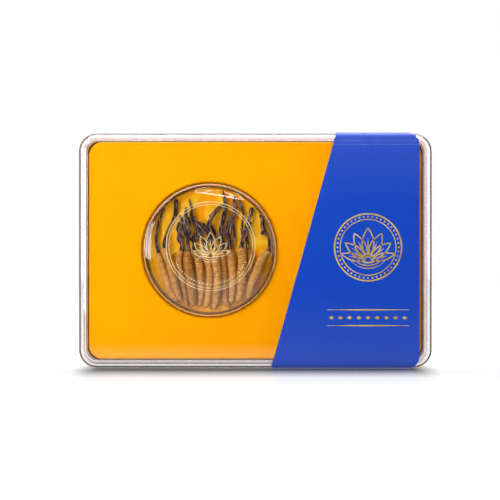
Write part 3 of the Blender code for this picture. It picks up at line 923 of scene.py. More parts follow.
def makePad(material):
    top = padHigh.y - padLow.y
    base = place[1] - padHigh.y
    edge = pad["edge"]
    flat = pad["radius"] - edge
    profile = [
        *[(flat * i / pad["ringSteps"], base + top) for i in range(pad["ringSteps"] + 1)],
        *arc((flat, base + top - edge), edge, 90, 0, 5)[1:],
        *arc((flat, base + edge), edge, 0, -90, 5),
        (0, base),
    ]
    shape = turnedShape(profile, pad["turnSteps"], place)
    face = place[1] - base - top + edge * 0.9
    for vert in shape.verts:
        reach = math.hypot(vert.co.x - place[0], vert.co.z - place[2])
        fold = silkFold(vert.co.x, vert.co.z)
        if vert.co.y < face:
            loose = 1 - smoothShare((reach - flat + pad["tuck"]) / pad["tuck"]) * 0.7
            vert.co.y += (1 - fold) * pad["creaseDepth"] * loose
    mesh = meshFrom("silk_pad", shape, 80)
    # the crumples also carry the silk's painted shade and highlight
    folds = mesh.attributes.new("fold", "FLOAT", "POINT").data
    for vertex in mesh.vertices:
        folds[vertex.index].value = silkFold(vertex.co.x, vertex.co.z)
    piece = addPiece("silk_pad", mesh, [material])
    keepPiece(piece, ["capsule_pad"])


makeCup(capsulePlastic)
makeDomeLid(capsulePlastic)
makePad(makeSilk())
print("capsule is made")


# Specimens. The line of each body runs from head to tail and of each stalk from base to tip, in millimetres
# right of and above the capsule's middle, and they are listed in the order in which they are laid.

specimens = [
    {
        "body": [
            (-18.5, -0.3), (-19.6, -4.2), (-20.0, -8.5), (-19.2, -15.0),
            (-17.8, -22.0), (-16.4, -29.0), (-15.2, -36.4),
        ],
        "girth": 5.0,
        "stalk": [
            (-18.4, 3.6), (-18.6, 7.3), (-19.5, 11.6),
            (-18.6, 15.7), (-18.7, 19.1), (-19.5, 22.6),
        ],
        "stalkGirths": (3.4, 2.8, 2.9, 2.0),
        "forks": [
            {"line": [(-18.7, 3.4), (-20.8, 7.0), (-20.4, 10.6), (-21.2, 13.6), (-19.6, 18.2)], "girth": 2.1},
            {"line": [(-18.5, 6.2), (-16.8, 9.4), (-17.4, 14.4), (-17.0, 18.8)], "girth": 1.8},
        ],
        "tone": 0.45,
    },
    {
        "body": [
            (-33.2, -1.9), (-32.4, -5.5), (-30.6, -11.5), (-28.3, -18.0),
            (-26.0, -24.2), (-23.4, -30.2), (-21.0, -34.2),
        ],
        "girth": 5.2,
        "stalk": [(-34.4, 1.6), (-35.0, 7.8), (-34.4, 12.8), (-32.8, 19.2), (-31.6, 24.0), (-29.7, 27.4)],
        "stalkGirths": (2.8, 2.4, 2.2, 1.6),
        "forks": [],
        "tone": 0.6,
    },
    {
        "body": [
            (-9.7, -0.3), (-8.2, -4.4), (-6.9, -10.5), (-6.1, -16.5),
            (-5.6, -24.1), (-5.7, -31.0), (-6.7, -36.4),
        ],
        "girth": 5.4,
        "stalk": [
            (-10.0, 3.2), (-10.4, 7.6), (-8.9, 12.0), (-9.6, 16.4),
            (-11.9, 22.4), (-11.8, 26.6), (-13.6, 33.4),
        ],
        "stalkGirths": (3.6, 3.0, 2.8, 1.0),
        "forks": [
            {"line": [(-10.2, 5.2), (-13.2, 7.4), (-15.8, 9.6), (-17.3, 13.4), (-18.2, 18.4)], "girth": 2.3},
            {"line": [(-9.8, 6.4), (-7.0, 9.2), (-5.4, 13.6), (-6.6, 18.4)], "girth": 2.1},
        ],
        "tone": 0.62,
    },
    {
        "body": [
            (8.1, -1.0), (8.5, -8.0), (9.1, -15.0), (9.3, -22.0),
            (9.4, -29.0), (10.8, -34.6), (13.4, -37.4),
        ],
        "girth": 5.0,
        "stalk": [
            (8.4, 3.8), (7.4, 8.3), (7.1, 12.6), (7.9, 17.4), (9.3, 22.8),
            (10.3, 28.0), (9.6, 32.6), (8.6, 39.0),
        ],
        "stalkGirths": (3.8, 3.5, 3.7, 0.9),
        "forks": [
            {"line": [(8.4, 4.2), (6.0, 6.8), (3.8, 10.0), (1.8, 14.0), (-1.6, 18.6)], "girth": 2.3},
            {"line": [(10.2, 28.6), (6.8, 28.6), (3.2, 25.0), (-0.4, 21.4)], "girth": 2.3},
        ],
        "tone": 0.6,
    },
    {
        "body": [(25.2, 0.4), (26.2, -5.5), (26.4, -10.5), (25.4, -15.0), (24.2, -19.0), (23.4, -22.6)],
        "girth": 4.3,
        "stalk": [(24.4, 4.0), (24.0, 8.0), (24.8, 12.4), (26.8, 18.4)],
        "stalkGirths": (3.4, 3.0, 2.6, 1.7),
        "forks": [],
        # a low tone, painted shade: this one lies in shadow among its neighbours
        "tone": 0.35,
    },
    {
        "body": [
            (38.1, -0.8), (36.0, -3.0), (33.7, -6.2), (31.8, -10.6), (29.9, -15.4),
            (27.9, -20.2), (26.2, -25.2), (25.2, -31.4),
        ],
        "girth": 6.0,
        "stalk": [
            (38.6, 2.6), (38.6, 6.0), (37.2, 10.0), (35.2, 13.0),
            (34.2, 16.4), (34.4, 19.2), (32.4, 23.0),
        ],
        "stalkGirths": (2.6, 2.3, 3.4, 2.6),
        "forks": [{"line": [(35.2, 13.0), (34.3, 11.6), (34.2, 9.6)], "girth": 3.0}],
        "tone": 0.7,
    },
    {
        "body": [
            (-3.3, -1.0), (-1.2, -7.0), (0.1, -13.0), (0.1, -19.0),
            (-0.3, -25.0), (-1.4, -32.0), (-3.0, -38.0),
        ],
        "girth": 5.3,
        "stalk": [(-3.0, 3.0), (-4.9, 8.0), (-7.2, 13.0), (-8.8, 17.4), (-9.9, 22.0)],
        "stalkGirths": (3.8, 3.5, 2.8, 1.8),
        "forks": [{"line": [(-3.2, 3.4), (-0.8, 7.8), (-1.6, 12.4), (-4.6, 17.6)], "girth": 2.4}],
        "tone": 0.6,
    },
    {
        "body": [
            (12.6, 0.2), (13.7, -4.4), (14.3, -9.5), (14.8, -15.5),
            (15.0, -21.0), (14.7, -27.5), (14.0, -34.4),
        ],
        "girth": 5.6,
        "stalk": [
            (12.7, 4.6), (12.2, 8.8), (13.0, 13.4), (14.0, 18.4), (15.8, 23.4),
            (16.5, 27.0), (15.8, 31.4), (16.3, 34.8),
        ],
        "stalkGirths": (3.4, 3.3, 3.5, 2.2),
        "forks": [
            {"line": [(12.3, 6.6), (10.4, 11.0), (11.2, 15.6), (13.0, 21.4)], "girth": 2.4},
            {"line": [(13.2, 2.4), (15.6, 6.4), (15.9, 12.0), (15.2, 18.8)], "girth": 1.7},
        ],
        "tone": 0.66,
    },
    {
        "body": [
            (-30.0, 1.0), (-28.1, -3.8), (-26.4, -9.0), (-24.5, -15.0),
            (-22.7, -21.0), (-20.9, -27.0), (-18.8, -32.8),
        ],
        "girth": 5.0,
        "stalk": [
            (-29.4, 4.4), (-28.5, 8.3), (-26.4, 14.4), (-23.3, 20.6),
            (-22.2, 25.4), (-22.2, 29.6), (-22.3, 33.2),
        ],
        "stalkGirths": (3.8, 2.5, 3.1, 3.9),
        "forks": [],
        "tone": 0.5,
    },
    {
        "body": [
            (3.3, -0.4), (3.9, -7.0), (4.9, -14.4), (5.0, -21.0),
            (4.7, -27.0), (4.0, -33.0), (2.8, -38.6),
        ],
        "girth": 5.2,
        "stalk": [(2.2, 3.6), (0.8, 8.2), (-0.8, 13.0), (-0.2, 18.0), (2.4, 22.8), (5.8, 27.2)],
        "stalkGirths": (3.6, 3.4, 3.0, 2.2),
        "forks": [{"line": [(0.4, 9.4), (-3.2, 12.6), (-6.6, 15.8), (-10.2, 20.4)], "girth": 2.8}],
        "tone": 0.7,
    },
    {
        "body": [
            (-13.9, -0.6), (-14.3, -5.6), (-13.8, -11.0), (-12.6, -17.0),
            (-12.0, -24.0), (-11.5, -31.0), (-10.2, -36.8),
        ],
        "girth": 6.2,
        "stalk": [
            (-14.2, 3.4), (-14.3, 7.0), (-14.9, 12.4), (-15.1, 17.4),
            (-15.5, 22.6), (-15.3, 28.0),
        ],
        "stalkGirths": (3.4, 3.0, 3.2, 2.6),
        "forks": [{"line": [(-14.3, 6.4), (-12.5, 11.4), (-12.6, 16.4), (-14.2, 21.8)], "girth": 2.3}],
        "tone": 0.3,
    },
    {
        "body": [
            (20.7, 1.4), (21.3, -4.0), (21.1, -9.5), (20.7, -15.5),
            (20.6, -21.5), (20.1, -27.5), (18.2, -33.8),
        ],
        "girth": 5.9,
        "stalk": [(21.2, 5.4), (22.0, 10.2), (24.2, 16.2), (26.4, 22.0), (27.4, 27.8)],
        "stalkGirths": (3.9, 2.6, 2.6, 3.9),
        "forks": [
            {
                "line": [(21.5, 8.0), (20.7, 13.4), (21.2, 18.6), (21.9, 22.4), (20.4, 28.0), (19.0, 32.8)],
                "girth": 2.0,
            },
            {"line": [(21.6, 7.0), (23.6, 9.6), (25.4, 13.0)], "girth": 2.4},
        ],
        "tone": 0.6,
    },
]

laying = {
    "lineStep": 1.0 * mm,
    "gap": 0.3 * mm,
    "restGap": 0.45 * mm,
    "stiffness": 60,
    "collar": 2.4 * mm,
}
padTop = place[1] - padLow.y

strand = {
    "pointStep": 0.5 * mm,
    "thinning": 0.95,
    "tip": 0.0008,
    "layTip": 0.06,
    "tail": 0.76,
    "tailShare": 0.4,
    "head": 0.78,
    "headShare": 0.86,
    "neck": 0.72,
    "neckBlend": 1.6 * mm,
    "feet": (0.36, 0.085, 0.55 * mm),
    "forkStart": 120.0,
}

# What a strand's surface is made of, set on the tree's inputs; lengths in millimetres
strandSurface = {
    "Around": 44,
    "Smoothness": 2,
    "Ring Spacing": 1.02,
    "Ring Depth": 0.26,
    "Segment Spacing": 4.1,
    "Segment Depth": 0.08,
    "Wrinkle Depth": 0.42,
    "Foot Height": 0.75,
    "Stalk Furrow": 0.55,
    "Stalk Lump": 0.62,
}


def smoothLine(points):
    ends = [2 * points[0] - points[1], *points, 2 * points[-1] - points[-2]]
    fine = []
    for before, start, end, after in zip(ends, ends[1:], ends[2:], ends[3:]):
        for step in range(20):
            t = step / 20
            bend = (2 * before - 5 * start + 4 * end - after) * t**2
            twist = (3 * start - before - 3 * end + after) * t**3
            fine.append(0.5 * (2 * start + (end - before) * t + bend + twist))
    fine.append(points[-1])
    gone = [0.0]
    for start, end in zip(fine, fine[1:]):
        gone.append(gone[-1] + (end - start).length)
    count = max(2, round(gone[-1] / laying["lineStep"]))
    distances = [gone[-1] * i / count for i in range(count + 1)]
    return [atDistance(fine, gone, d) for d in distances], distances


def atDistance(values, distances, wanted):
    for i in range(1, len(distances)):
        if wanted <= distances[i]:
            share = (wanted - distances[i - 1]) / (distances[i] - distances[i - 1])
            return values[i - 1] * (1 - share) + values[i] * share
    return values[-1]


def roundTip(distance, radius, least):
    return math.sqrt(max(least, 1 - (1 - min(1.0, distance / radius)) ** 2))


def radiusAlong(specimen, distance, bodyLength, length, least):
    full = specimen["girth"] / 2 * mm
    girths = [g / 2 * mm for g in specimen["stalkGirths"]]
    if distance <= bodyLength:
        fromTail = smoothShare(distance / (strand["tailShare"] * bodyLength))
        toHead = smoothShare((distance / bodyLength - strand["headShare"]) / (1 - strand["headShare"]))
        tail = strand["tail"] + (1 - strand["tail"]) * fromTail
        head = 1 - (1 - strand["head"]) * toHead
        return full * tail * head * roundTip(distance, full, least)
    along = (distance - bodyLength) / (length - bodyLength)
    radius = atDistance(girths, [0.0, 0.33, 0.72, 1.0], along)
    collar = 1 - smoothShare((distance - bodyLength) / laying["collar"])
    radius += (strand["neck"] * full - radius) * collar
    return radius * roundTip(length - distance, girths[-1], least)


def layHeights(line, radii, laid, startHeight=None):
    # how high each point lies over the pad, clear of the pad and of the specimens already laid
    needed = []
    for point, radius in zip(line, radii):
        height = radius + laying["gap"]
        for otherPoint, otherHeight, otherRadius in laid:
            reach = radius + otherRadius + laying["restGap"]
            apart = (point - otherPoint).length
            if apart < reach:
                height = max(height, otherHeight + math.sqrt(reach * reach - apart * apart))
        needed.append(height)
    if startHeight:
        needed[0] = max(needed[0], startHeight)
    heights = list(needed)
    for _ in range(laying["stiffness"]):
        ends = [heights[0], *heights, heights[-1]]
        heights = [max(n, (a + b + c) / 3) for n, a, b, c in zip(needed, ends, ends[1:], ends[2:])]
    return heights


def fineMarks(length, radius):
    # distances along a strand, closer together at its round ends
    close = [radius * share for share in (0.0, 0.03, 0.1, 0.22, 0.4, 0.62)]
    count = round((length - 2 * radius) / strand["pointStep"])
    middle = [radius + (length - 2 * radius) * i / count for i in range(count + 1)]
    return close + middle + [length - mark for mark in reversed(close)]


def strandPoints(line, heights, distances, marks, girthAt, stalkAt, footAt, start):
    # each point of a strand: its place, and the values that the tree and the finish read
    points = []
    for mark in marks:
        spot = atDistance(line, distances, mark)
        height = atDistance(heights, distances, mark)
        where = (place[0] + spot.x, place[1] - padTop - height, place[2] + spot.y)
        points.append((where, {
            "girth": girthAt(mark) * strand["thinning"],
            "stalk": stalkAt(mark),
            "foot": footAt(mark),
            "along": mark / mm + start,
        }))
    return points


def feetAlong(distance, bodyLength):
    # four pairs of feet in the middle of the body
    first, apart, size = strand["feet"]
    middles = [bodyLength * (first + apart * number) for number in range(4)]
    return sum(math.exp(-(((distance - middle) / size) ** 2)) for middle in middles)


def mainStrand(specimen, laid):
    # the body and its stalk, and how they lie: a line, heights and radii
    body = [Vector(p) * mm for p in reversed(specimen["body"])]
    stalk = [Vector(p) * mm for p in specimen["stalk"]]
    line, distances = smoothLine(body + stalk)
    length, bodyLength = distances[-1], smoothLine(body)[1][-1]
    least = [0.05 if d <= bodyLength else strand["layTip"] for d in distances]
    radii = [radiusAlong(specimen, d, bodyLength, length, tip) for d, tip in zip(distances, least)]
    heights = layHeights(line, radii, laid)
    blend = strand["neckBlend"]
    points = strandPoints(
        line, heights, distances, fineMarks(length, specimen["girth"] / 2 * mm),
        lambda d: radiusAlong(specimen, d, bodyLength, length, strand["tip"]),
        lambda d: smoothShare((d - bodyLength + blend / 2) / blend),
        lambda d: feetAlong(d, bodyLength),
        0.0,
    )
    return points, list(zip(line, heights, radii))


def forkStrand(fork, number, laid, mainLying):
    # a fork leaves the first stalk at the height that it has there
    line, distances = smoothLine([Vector(p) * mm for p in fork["line"]])
    full, length = fork["girth"] / 2 * mm, distances[-1]
    radii = [full * roundTip(length - d, full, strand["layTip"]) for d in distances]
    startHeight = min(mainLying, key=lambda spot: (spot[0] - line[0]).length)[1]
    heights = layHeights(line, radii, laid, startHeight)
    points = strandPoints(
        line, heights, distances, fineMarks(length, full),
        lambda d: full * roundTip(length - d, full, strand["tip"]),
        lambda d: 1.0,
        lambda d: 0.0,
        strand["forkStart"] * number,
    )
    return points, list(zip(line, heights, radii))


def specimenStrands(specimen, laid):
    points, mainLying = mainStrand(specimen, laid)
    strands, lying = [points], list(mainLying)
    for number, fork in enumerate(specimen["forks"], start=1):
        points, forkLying = forkStrand(fork, number, laid, mainLying)
        strands.append(points)
        lying += forkLying
    laid += lying
    return strands


# How the relief of a strand is drawn in the tree
relief = {
    "ringWander": 2.2,
    "ringRound": 0.6,
    "segmentWander": 0.5,
    "segmentRound": 0.5,
    "segmentShade": 0.7,
    "footRound": 6.0,
    "twist": 0.09,
    "furrowsAround": 1.9,
    "furrowsAlong": 0.13,
    "furrowNarrow": 5.0,
    "flatBelow": 700.0,
}


def strandLengths():
    return [name for name, value in strandSurface.items() if isinstance(value, float)]


def bodyRelief(enter, along, spot, foot):
    # rings, wider segments and wrinkles across the body, and its feet
    wander = minus(noiseValue(spot, 0.35, 2.0), 0.5)
    ring = plus(calc("DIVIDE", along, enter.outputs["Ring Spacing"]), times(wander, relief["ringWander"]))
    ring = calc("POWER", ridges(ring), relief["ringRound"])
    segment = calc("DIVIDE", along, enter.outputs["Segment Spacing"])
    segment = plus(segment, times(wander, relief["segmentWander"]))
    segment = calc("POWER", ridges(segment), relief["segmentRound"])
    wrinkle = minus(noiseValue(spot, 1.1, 4.0, 0.6), 0.5)
    height = plus(
        times(minus(ring, 1.0), enter.outputs["Ring Depth"]),
        times(minus(segment, 1.0), enter.outputs["Segment Depth"]),
        times(wrinkle, enter.outputs["Wrinkle Depth"]),
        times(foot, enter.outputs["Foot Height"]),
    )
    # the second value, low in the grooves between the rings and segments and high on their crests, becomes
    # painted shade and painted highlight in the finish
    return height, times(ring, mapped(segment, 0.0, 1.0, relief["segmentShade"], 1.0))


def stalkRelief(enter, along, spot, turn, seed):
    # furrows along the stalk, which twist slowly around it, and lumps
    angle = plus(times(turn, 2 * math.pi), times(along, relief["twist"]))
    furrowPlace = joinAxes({
        "X": times(calc("COSINE", angle), relief["furrowsAround"]),
        "Y": plus(times(calc("SINE", angle), relief["furrowsAround"]), seed),
        "Z": times(along, relief["furrowsAlong"]),
    })
    away = calc("ABSOLUTE", minus(noiseValue(furrowPlace, 1.0, 2.0), 0.5))
    furrow = calc("MAXIMUM", minus(1.0, times(away, relief["furrowNarrow"])), 0.0)
    lump = minus(noiseValue(spot, 0.45, 3.0), 0.5)
    deep = times(enter.outputs["Stalk Furrow"], -1.0)
    return plus(times(furrow, deep), times(lump, enter.outputs["Stalk Lump"])), furrow


def makeStrandTree():
    # turns lines into ringed bodies and furrowed stalks
    inputs = [("Geometry", "NodeSocketGeometry", None), ("Material", "NodeSocketMaterial", None)]
    inputs += [(name, "NodeSocketInt", 1) for name in ("Around", "Smoothness", "Seed")]
    inputs += [(name, "NodeSocketFloat", 1.0) for name in strandLengths()]
    inputs.append(("Foot Side", "NodeSocketVector", (1.0, 0.0, 0.0)))
    outputs = [("Geometry", "NodeSocketGeometry")]
    tree, enter, leave = newGroup("grownStrand", "GeometryNodeTree", inputs, outputs)

    def grow(kind, settings=None, inputs=None):
        return addNode(tree, kind, settings, inputs).outputs[0]

    def named(name):
        return grow("GeometryNodeInputNamedAttribute", {"data_type": "FLOAT"}, {"Name": name})

    def store(geometry, name, value):
        return grow("GeometryNodeStoreNamedAttribute", {"data_type": "FLOAT", "domain": "POINT"}, {
            "Geometry": geometry, "Name": name, "Value": value,
        })

    line = grow("GeometryNodeMeshToCurve", inputs={"Mesh": enter.outputs["Geometry"]})
    line = grow("GeometryNodeCurveSplineType", {"spline_type": "CATMULL_ROM"}, {"Curve": line})
    line = grow("GeometryNodeSetSplineResolution", inputs={
        "Geometry": line, "Resolution": enter.outputs["Smoothness"],
    })
    ring = grow("GeometryNodeCurvePrimitiveCircle", inputs={
        "Resolution": enter.outputs["Around"], "Radius": 1.0,
    })
    turn = addNode(tree, "GeometryNodeSplineParameter").outputs["Factor"]
    tube = grow("GeometryNodeCurveToMesh", inputs={
        "Curve": line, "Profile Curve": store(ring, "turn", turn), "Scale": named("girth"), "Fill Caps": True,
    })

    along, stalk, normal = named("along"), named("stalk"), grow("GeometryNodeInputNormal")
    seed = times(enter.outputs["Seed"], 17.3)
    spot = grow("ShaderNodeVectorMath", {"operation": "SCALE"}, {
        0: grow("GeometryNodeInputPosition"), "Scale": 1000.0,
    })
    spot = grow("ShaderNodeVectorMath", {"operation": "ADD"}, {0: spot, 1: joinAxes({"Y": seed})})
    facing = addNode(tree, "ShaderNodeVectorMath", {"operation": "DOT_PRODUCT"}, {
        0: normal, 1: enter.outputs["Foot Side"],
    }).outputs["Value"]
    foot = times(calc("POWER", calc("MAXIMUM", facing, 0.0), relief["footRound"]), named("foot"))
    bodyHeight, rings = bodyRelief(enter, along, spot, foot)
    stalkHeight, furrow = stalkRelief(enter, along, spot, named("turn"), seed)

    height = plus(times(bodyHeight, minus(1.0, stalk)), times(stalkHeight, stalk))
    height = times(height, calc("MINIMUM", times(named("girth"), relief["flatBelow"]), 1.0))
    geometry = tube
    for name, value in (("ring", rings), ("furrow", furrow), ("knob", foot)):
        geometry = store(geometry, name, value)
    push = grow("ShaderNodeVectorMath", {"operation": "SCALE"}, {0: normal, "Scale": times(height, mm)})
    geometry = grow("GeometryNodeSetPosition", inputs={"Geometry": geometry, "Offset": push})
    geometry = grow("GeometryNodeSetShadeSmooth", inputs={"Geometry": geometry})
    feed(leave, "Geometry", dressed(tree, geometry, enter))
    return tree


def dressed(tree, geometry, enter):
    # every tree ends in real geometry with a material
    real = addNode(tree, "GeometryNodeRealizeInstances", inputs={"Geometry": geometry})
    return addNode(tree, "GeometryNodeSetMaterial", inputs={
        "Geometry": real.outputs[0], "Material": enter.outputs["Material"],
    }).outputs[0]


def setInput(modifier, name, value):
    for item in modifier.node_group.interface.items_tree:
        if item.item_type == "SOCKET" and item.in_out == "INPUT" and item.name == name:
            modifier[item.identifier] = value


fungus = {
    "bodyStops": [
        (0.0, (0.07, 0.024, 0.008)),
        (0.3, (0.34, 0.125, 0.018)),
        (0.6, (0.62, 0.27, 0.038)),
        (0.95, (0.92, 0.58, 0.20)),
    ],
    "patch": (0.10, 0.042, 0.022),
    "stalkStops": [
        (0.0, (0.014, 0.008, 0.011)),
        (0.38, (0.040, 0.021, 0.022)),
        (0.60, (0.15, 0.082, 0.060)),
        (0.85, (0.56, 0.34, 0.23)),
    ],
    "collar": (0.055, 0.024, 0.020),
    "foot": (0.66, 0.42, 0.19),
    "grain": 0.14 * mm,
}

# The side on which the feet stand out: to the right and the front, or to the left and the back
footSides = {"front": (0.94, -0.34, 0.0), "back": (-0.5, 0.86, 0.0)}
footInFront = (6, 12)


def aboutHalf(value, amount):
    return times(minus(value, 0.5), amount)


def makeDriedFungus():
    material, tree, shader = newMaterial("driedCordyceps", {"Specular IOR Level": 0.25})
    names = ("ring", "furrow", "stalk", "along", "tone", "knob")
    ring, furrow, stalk, along, tone, knob = (attributeValue(tree, name) for name in names)
    spot = objectPlace(tree, (1000.0, 1000.0, 1000.0))
    fine = noiseValue(spot, 1.6, 4.0, 0.65)
    broad = noiseValue(spot, 0.28, 3.0, 0.6)
    grit = noiseValue(spot, 5.0, 2.0, 0.6)

    # painted shade in the grooves between the rings and painted highlight on their crests, over random tone
    # and each specimen's own tone
    light = plus(times(ring, 0.62), times(fine, 0.9), aboutHalf(tone, 0.5), aboutHalf(broad, 0.5))
    bodyColour = colourRamp(minus(light, 0.34), fungus["bodyStops"])
    bodyColour = mixed(mapped(broad, 0.56, 0.68, 0.0, 0.75), bodyColour, fungus["patch"])
    bodyColour = mixed(mapped(knob, 0.15, 0.6), bodyColour, fungus["foot"])

    # on the stalks, painted shade in the furrows and painted highlight, pale tan, on the ridges between them,
    # with random streaks
    stalkShadeAndStreaks = plus(times(minus(1.0, furrow), 1.1), aboutHalf(fine, 1.0), aboutHalf(broad, 1.3))
    stalkColour = colourRamp(stalkShadeAndStreaks, fungus["stalkStops"])
    colour = mixed(mapped(stalk, 0.3, 0.7), bodyColour, stalkColour)
    collar = mapped(calc("ABSOLUTE", minus(stalk, 0.5)), 0.1, 0.5, 0.8, 0.0)
    feed(shader, "Base Color", mixed(collar, colour, fungus["collar"]))
    feed(shader, "Roughness", mapped(fine, 0.3, 0.7, 0.55, 0.85))
    fibres = addNode(tree, "ShaderNodeTexWave", {"wave_type": "BANDS"}, {
        "Vector": along, "Scale": 0.6, "Distortion": 2.0,
    })
    height = plus(fine, times(grit, 0.4), times(fibres.outputs["Fac"], 0.2))
    addBump(shader, height, fungus["grain"], 0.8)
    return material


def makeSpecimens(material):
    tree = makeStrandTree()
    laid = []
    for number, specimen in enumerate(specimens, start=1):
        vertices, edges, values = [], [], []
        for points in specimenStrands(specimen, laid):
            first = len(vertices)
            vertices += [where for where, _ in points]
            values += [value for _, value in points]
            edges += [(first + i, first + i + 1) for i in range(len(points) - 1)]
        name = f"specimen_{number:02d}"
        mesh = bpy.data.meshes.new(name)
        mesh.from_pydata(vertices, edges, [])
        for key in ("girth", "stalk", "foot", "along"):
            mesh.attributes.new(key, "FLOAT", "POINT").data.foreach_set("value", [v[key] for v in values])
        piece = addPiece(name, mesh, [])
        growth = piece.modifiers.new("growth", "NODES")
        growth.node_group = tree
        for key, value in strandSurface.items():
            setInput(growth, key, value)
        setInput(growth, "Seed", number)
        setInput(growth, "Material", material)
        setInput(growth, "Foot Side", footSides["front" if number in footInFront else "back"])
        plainMesh(piece)
        tones = piece.data.attributes.new("tone", "FLOAT", "POINT").data
        tones.foreach_set("value", [specimen["tone"]] * len(tones))
        keepPiece(piece, [f"cordyceps_{number:02d}"])


makeSpecimens(makeDriedFungus())
print("specimens are made")


# Card sleeve with a slanted left edge

sleeveLow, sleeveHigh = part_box("sleeve")
sleeve = {
    "card": 0.4 * mm,
    "leftTop": 52.2 * mm,
    "leftFoot": 9.9 * mm,
    "right": 105.8 * mm,
    "corner": 8.0 * mm,
    "bend": 6.2 * mm,
    "bendSteps": 10,
    "creases": (5.2 * mm, 8.0 * mm),
    "creaseLift": 0.3 * mm,
    "acrossSteps": 40,
    "lapMiddle": -12.0 * mm,
    "lapHeight": 18.0 * mm,
    "lapInset": 0.3 * mm,
}

card = {
    "colour": (0.0075, 0.078, 0.635),
    "deepColour": (0.0045, 0.068, 0.60),
    "edgeReflectionColour": (0.042, 0.108, 0.66),
    "edgeReflectionRange": (0.030, 0.072, 0.05, 0.85),
    "creaseGlint": (0.16, 0.26, 0.76),
    "core": (0.80, 0.78, 0.80),
    "deepCore": (0.70, 0.68, 0.72),
    "roughness": 0.24,
    "scratches": {"Scale": 40.0, "Scratch Width": 0.015},
    "relief": 0.05 * mm,
    "coreRelief": 0.04 * mm,
}
sleeveHalf = (sleeveHigh.z - sleeveLow.z) / 2
sleeveMiddle = (sleeveHigh.z + sleeveLow.z) / 2


def makeBlueCard():
    material, tree, shader = newMaterial("blueCard", {
        "Specular IOR Level": 0.22,
        "Coat Weight": 0.05,
        "Coat Roughness": 0.12,
    })
    marks = placeGroup(tree, handlingGroup, card["scratches"])
    spot = objectPlace(tree)
    cloud = noiseValue(spot, 22.0, 3.0)
    colour = mixed(mapped(cloud, 0.3, 0.7), card["deepColour"], card["colour"])
    # painted reflection: paler towards the top and the foot, and a painted highlight along the crease, broken
    # in patches
    reach = calc("ABSOLUTE", minus(axisOf(spot, "Z"), sleeveMiddle))
    colour = mixed(mapped(reach, *card["edgeReflectionRange"]), colour, card["edgeReflectionColour"])
    glintShare = mapped(attributeValue(tree, "creaseGlint"), 0.2, 1.0, 0.0, 0.85)
    patchy = mapped(noiseValue(spot, 300.0, 2.0), 0.3, 0.6, 0.5, 1.0)
    feed(shader, "Base Color", mixed(times(glintShare, patchy), colour, card["creaseGlint"]))
    rough = plus(times(marks.outputs["Scratches"], 0.03), card["roughness"], times(cloud, 0.08))
    feed(shader, "Roughness", rough)
    fibre, slow = noiseValue(spot, 900.0, 3.0, 0.6), noiseValue(spot, 45.0, 2.0)
    addBump(shader, plus(times(fibre, 0.15), slow), card["relief"], 0.5)
    return material


def makeCardCore():
    material, tree, shader = newMaterial("whiteCardCore", {"Roughness": 0.85, "Specular IOR Level": 0.2})
    fibre = noiseValue(objectPlace(tree), 1500.0, 3.0, 0.6)
    feed(shader, "Base Color", mixed(fibre, card["deepCore"], card["core"]))
    addBump(shader, fibre, card["coreRelief"], 0.6)
    return material


def sleeveSection():
    # one half of the section around the case, from the middle of the front to the middle of the back:
    # places in y and z of the outside, and how strong the painted highlight on the crease is there
    half, deep, bend, lift = sleeveHalf, sleeveHigh.y, sleeve["bend"], sleeve["creaseLift"]
    low, high = half - sleeve["creases"][1], half - sleeve["creases"][0]
    heights = [0.0, half * 0.3, half * 0.6, half - 16 * mm, half - 13 * mm]
    heights += [half - 8 * mm - 0.5 * mm * i for i in range(8, 0, -1)]
    points = [(-deep, z, 0.0) for z in heights]
    # at the top the card is creased twice and lies back between the creases
    points += [
        (-deep, low - 0.2 * mm, 0.5),
        (-deep, low, 1.0),
        (-deep + 0.02 * mm, low + 0.2 * mm, 0.5),
        (-deep + lift * 0.5, (low + high) / 2, 0.0),
        (-deep + lift - 0.05 * mm, high - 0.2 * mm, 0.5),
        (-deep + lift, high, 1.0),
        (-deep + lift + 0.06 * mm, high + 0.2 * mm, 0.5),
    ]
    for turn in quarterTurns(sleeve["bendSteps"]):
        y, z = -deep + bend - bend * math.cos(turn), half - bend + bend * math.sin(turn)
        if z > high + 0.5 * mm:
            points.append((y + lift * (1 - math.sin(turn)), z, 0.0))
    points += [(-deep * 0.3, half, 0.0), (0.0, half, 0.0)]
    return points


def sleeveLoop():
    # the whole section, whose painted crease highlight is faint at the foot
    quarter = sleeveSection()
    upper = quarter + [(-y, z, c) for y, z, c in reversed(quarter[:-1])]
    return upper + [(y, -z, c * 0.1) for y, z, c in reversed(upper[1:-1])]


def sleeveRow(shape, y, z, left, right):
    row = []
    for step in range(sleeve["acrossSteps"] + 1):
        # finer steps beside the right edge, where the corners are round
        share = 1 - (1 - step / sleeve["acrossSteps"]) ** 1.4
        row.append(shape.verts.new((left + (right - left) * share, y, z)))
    return row


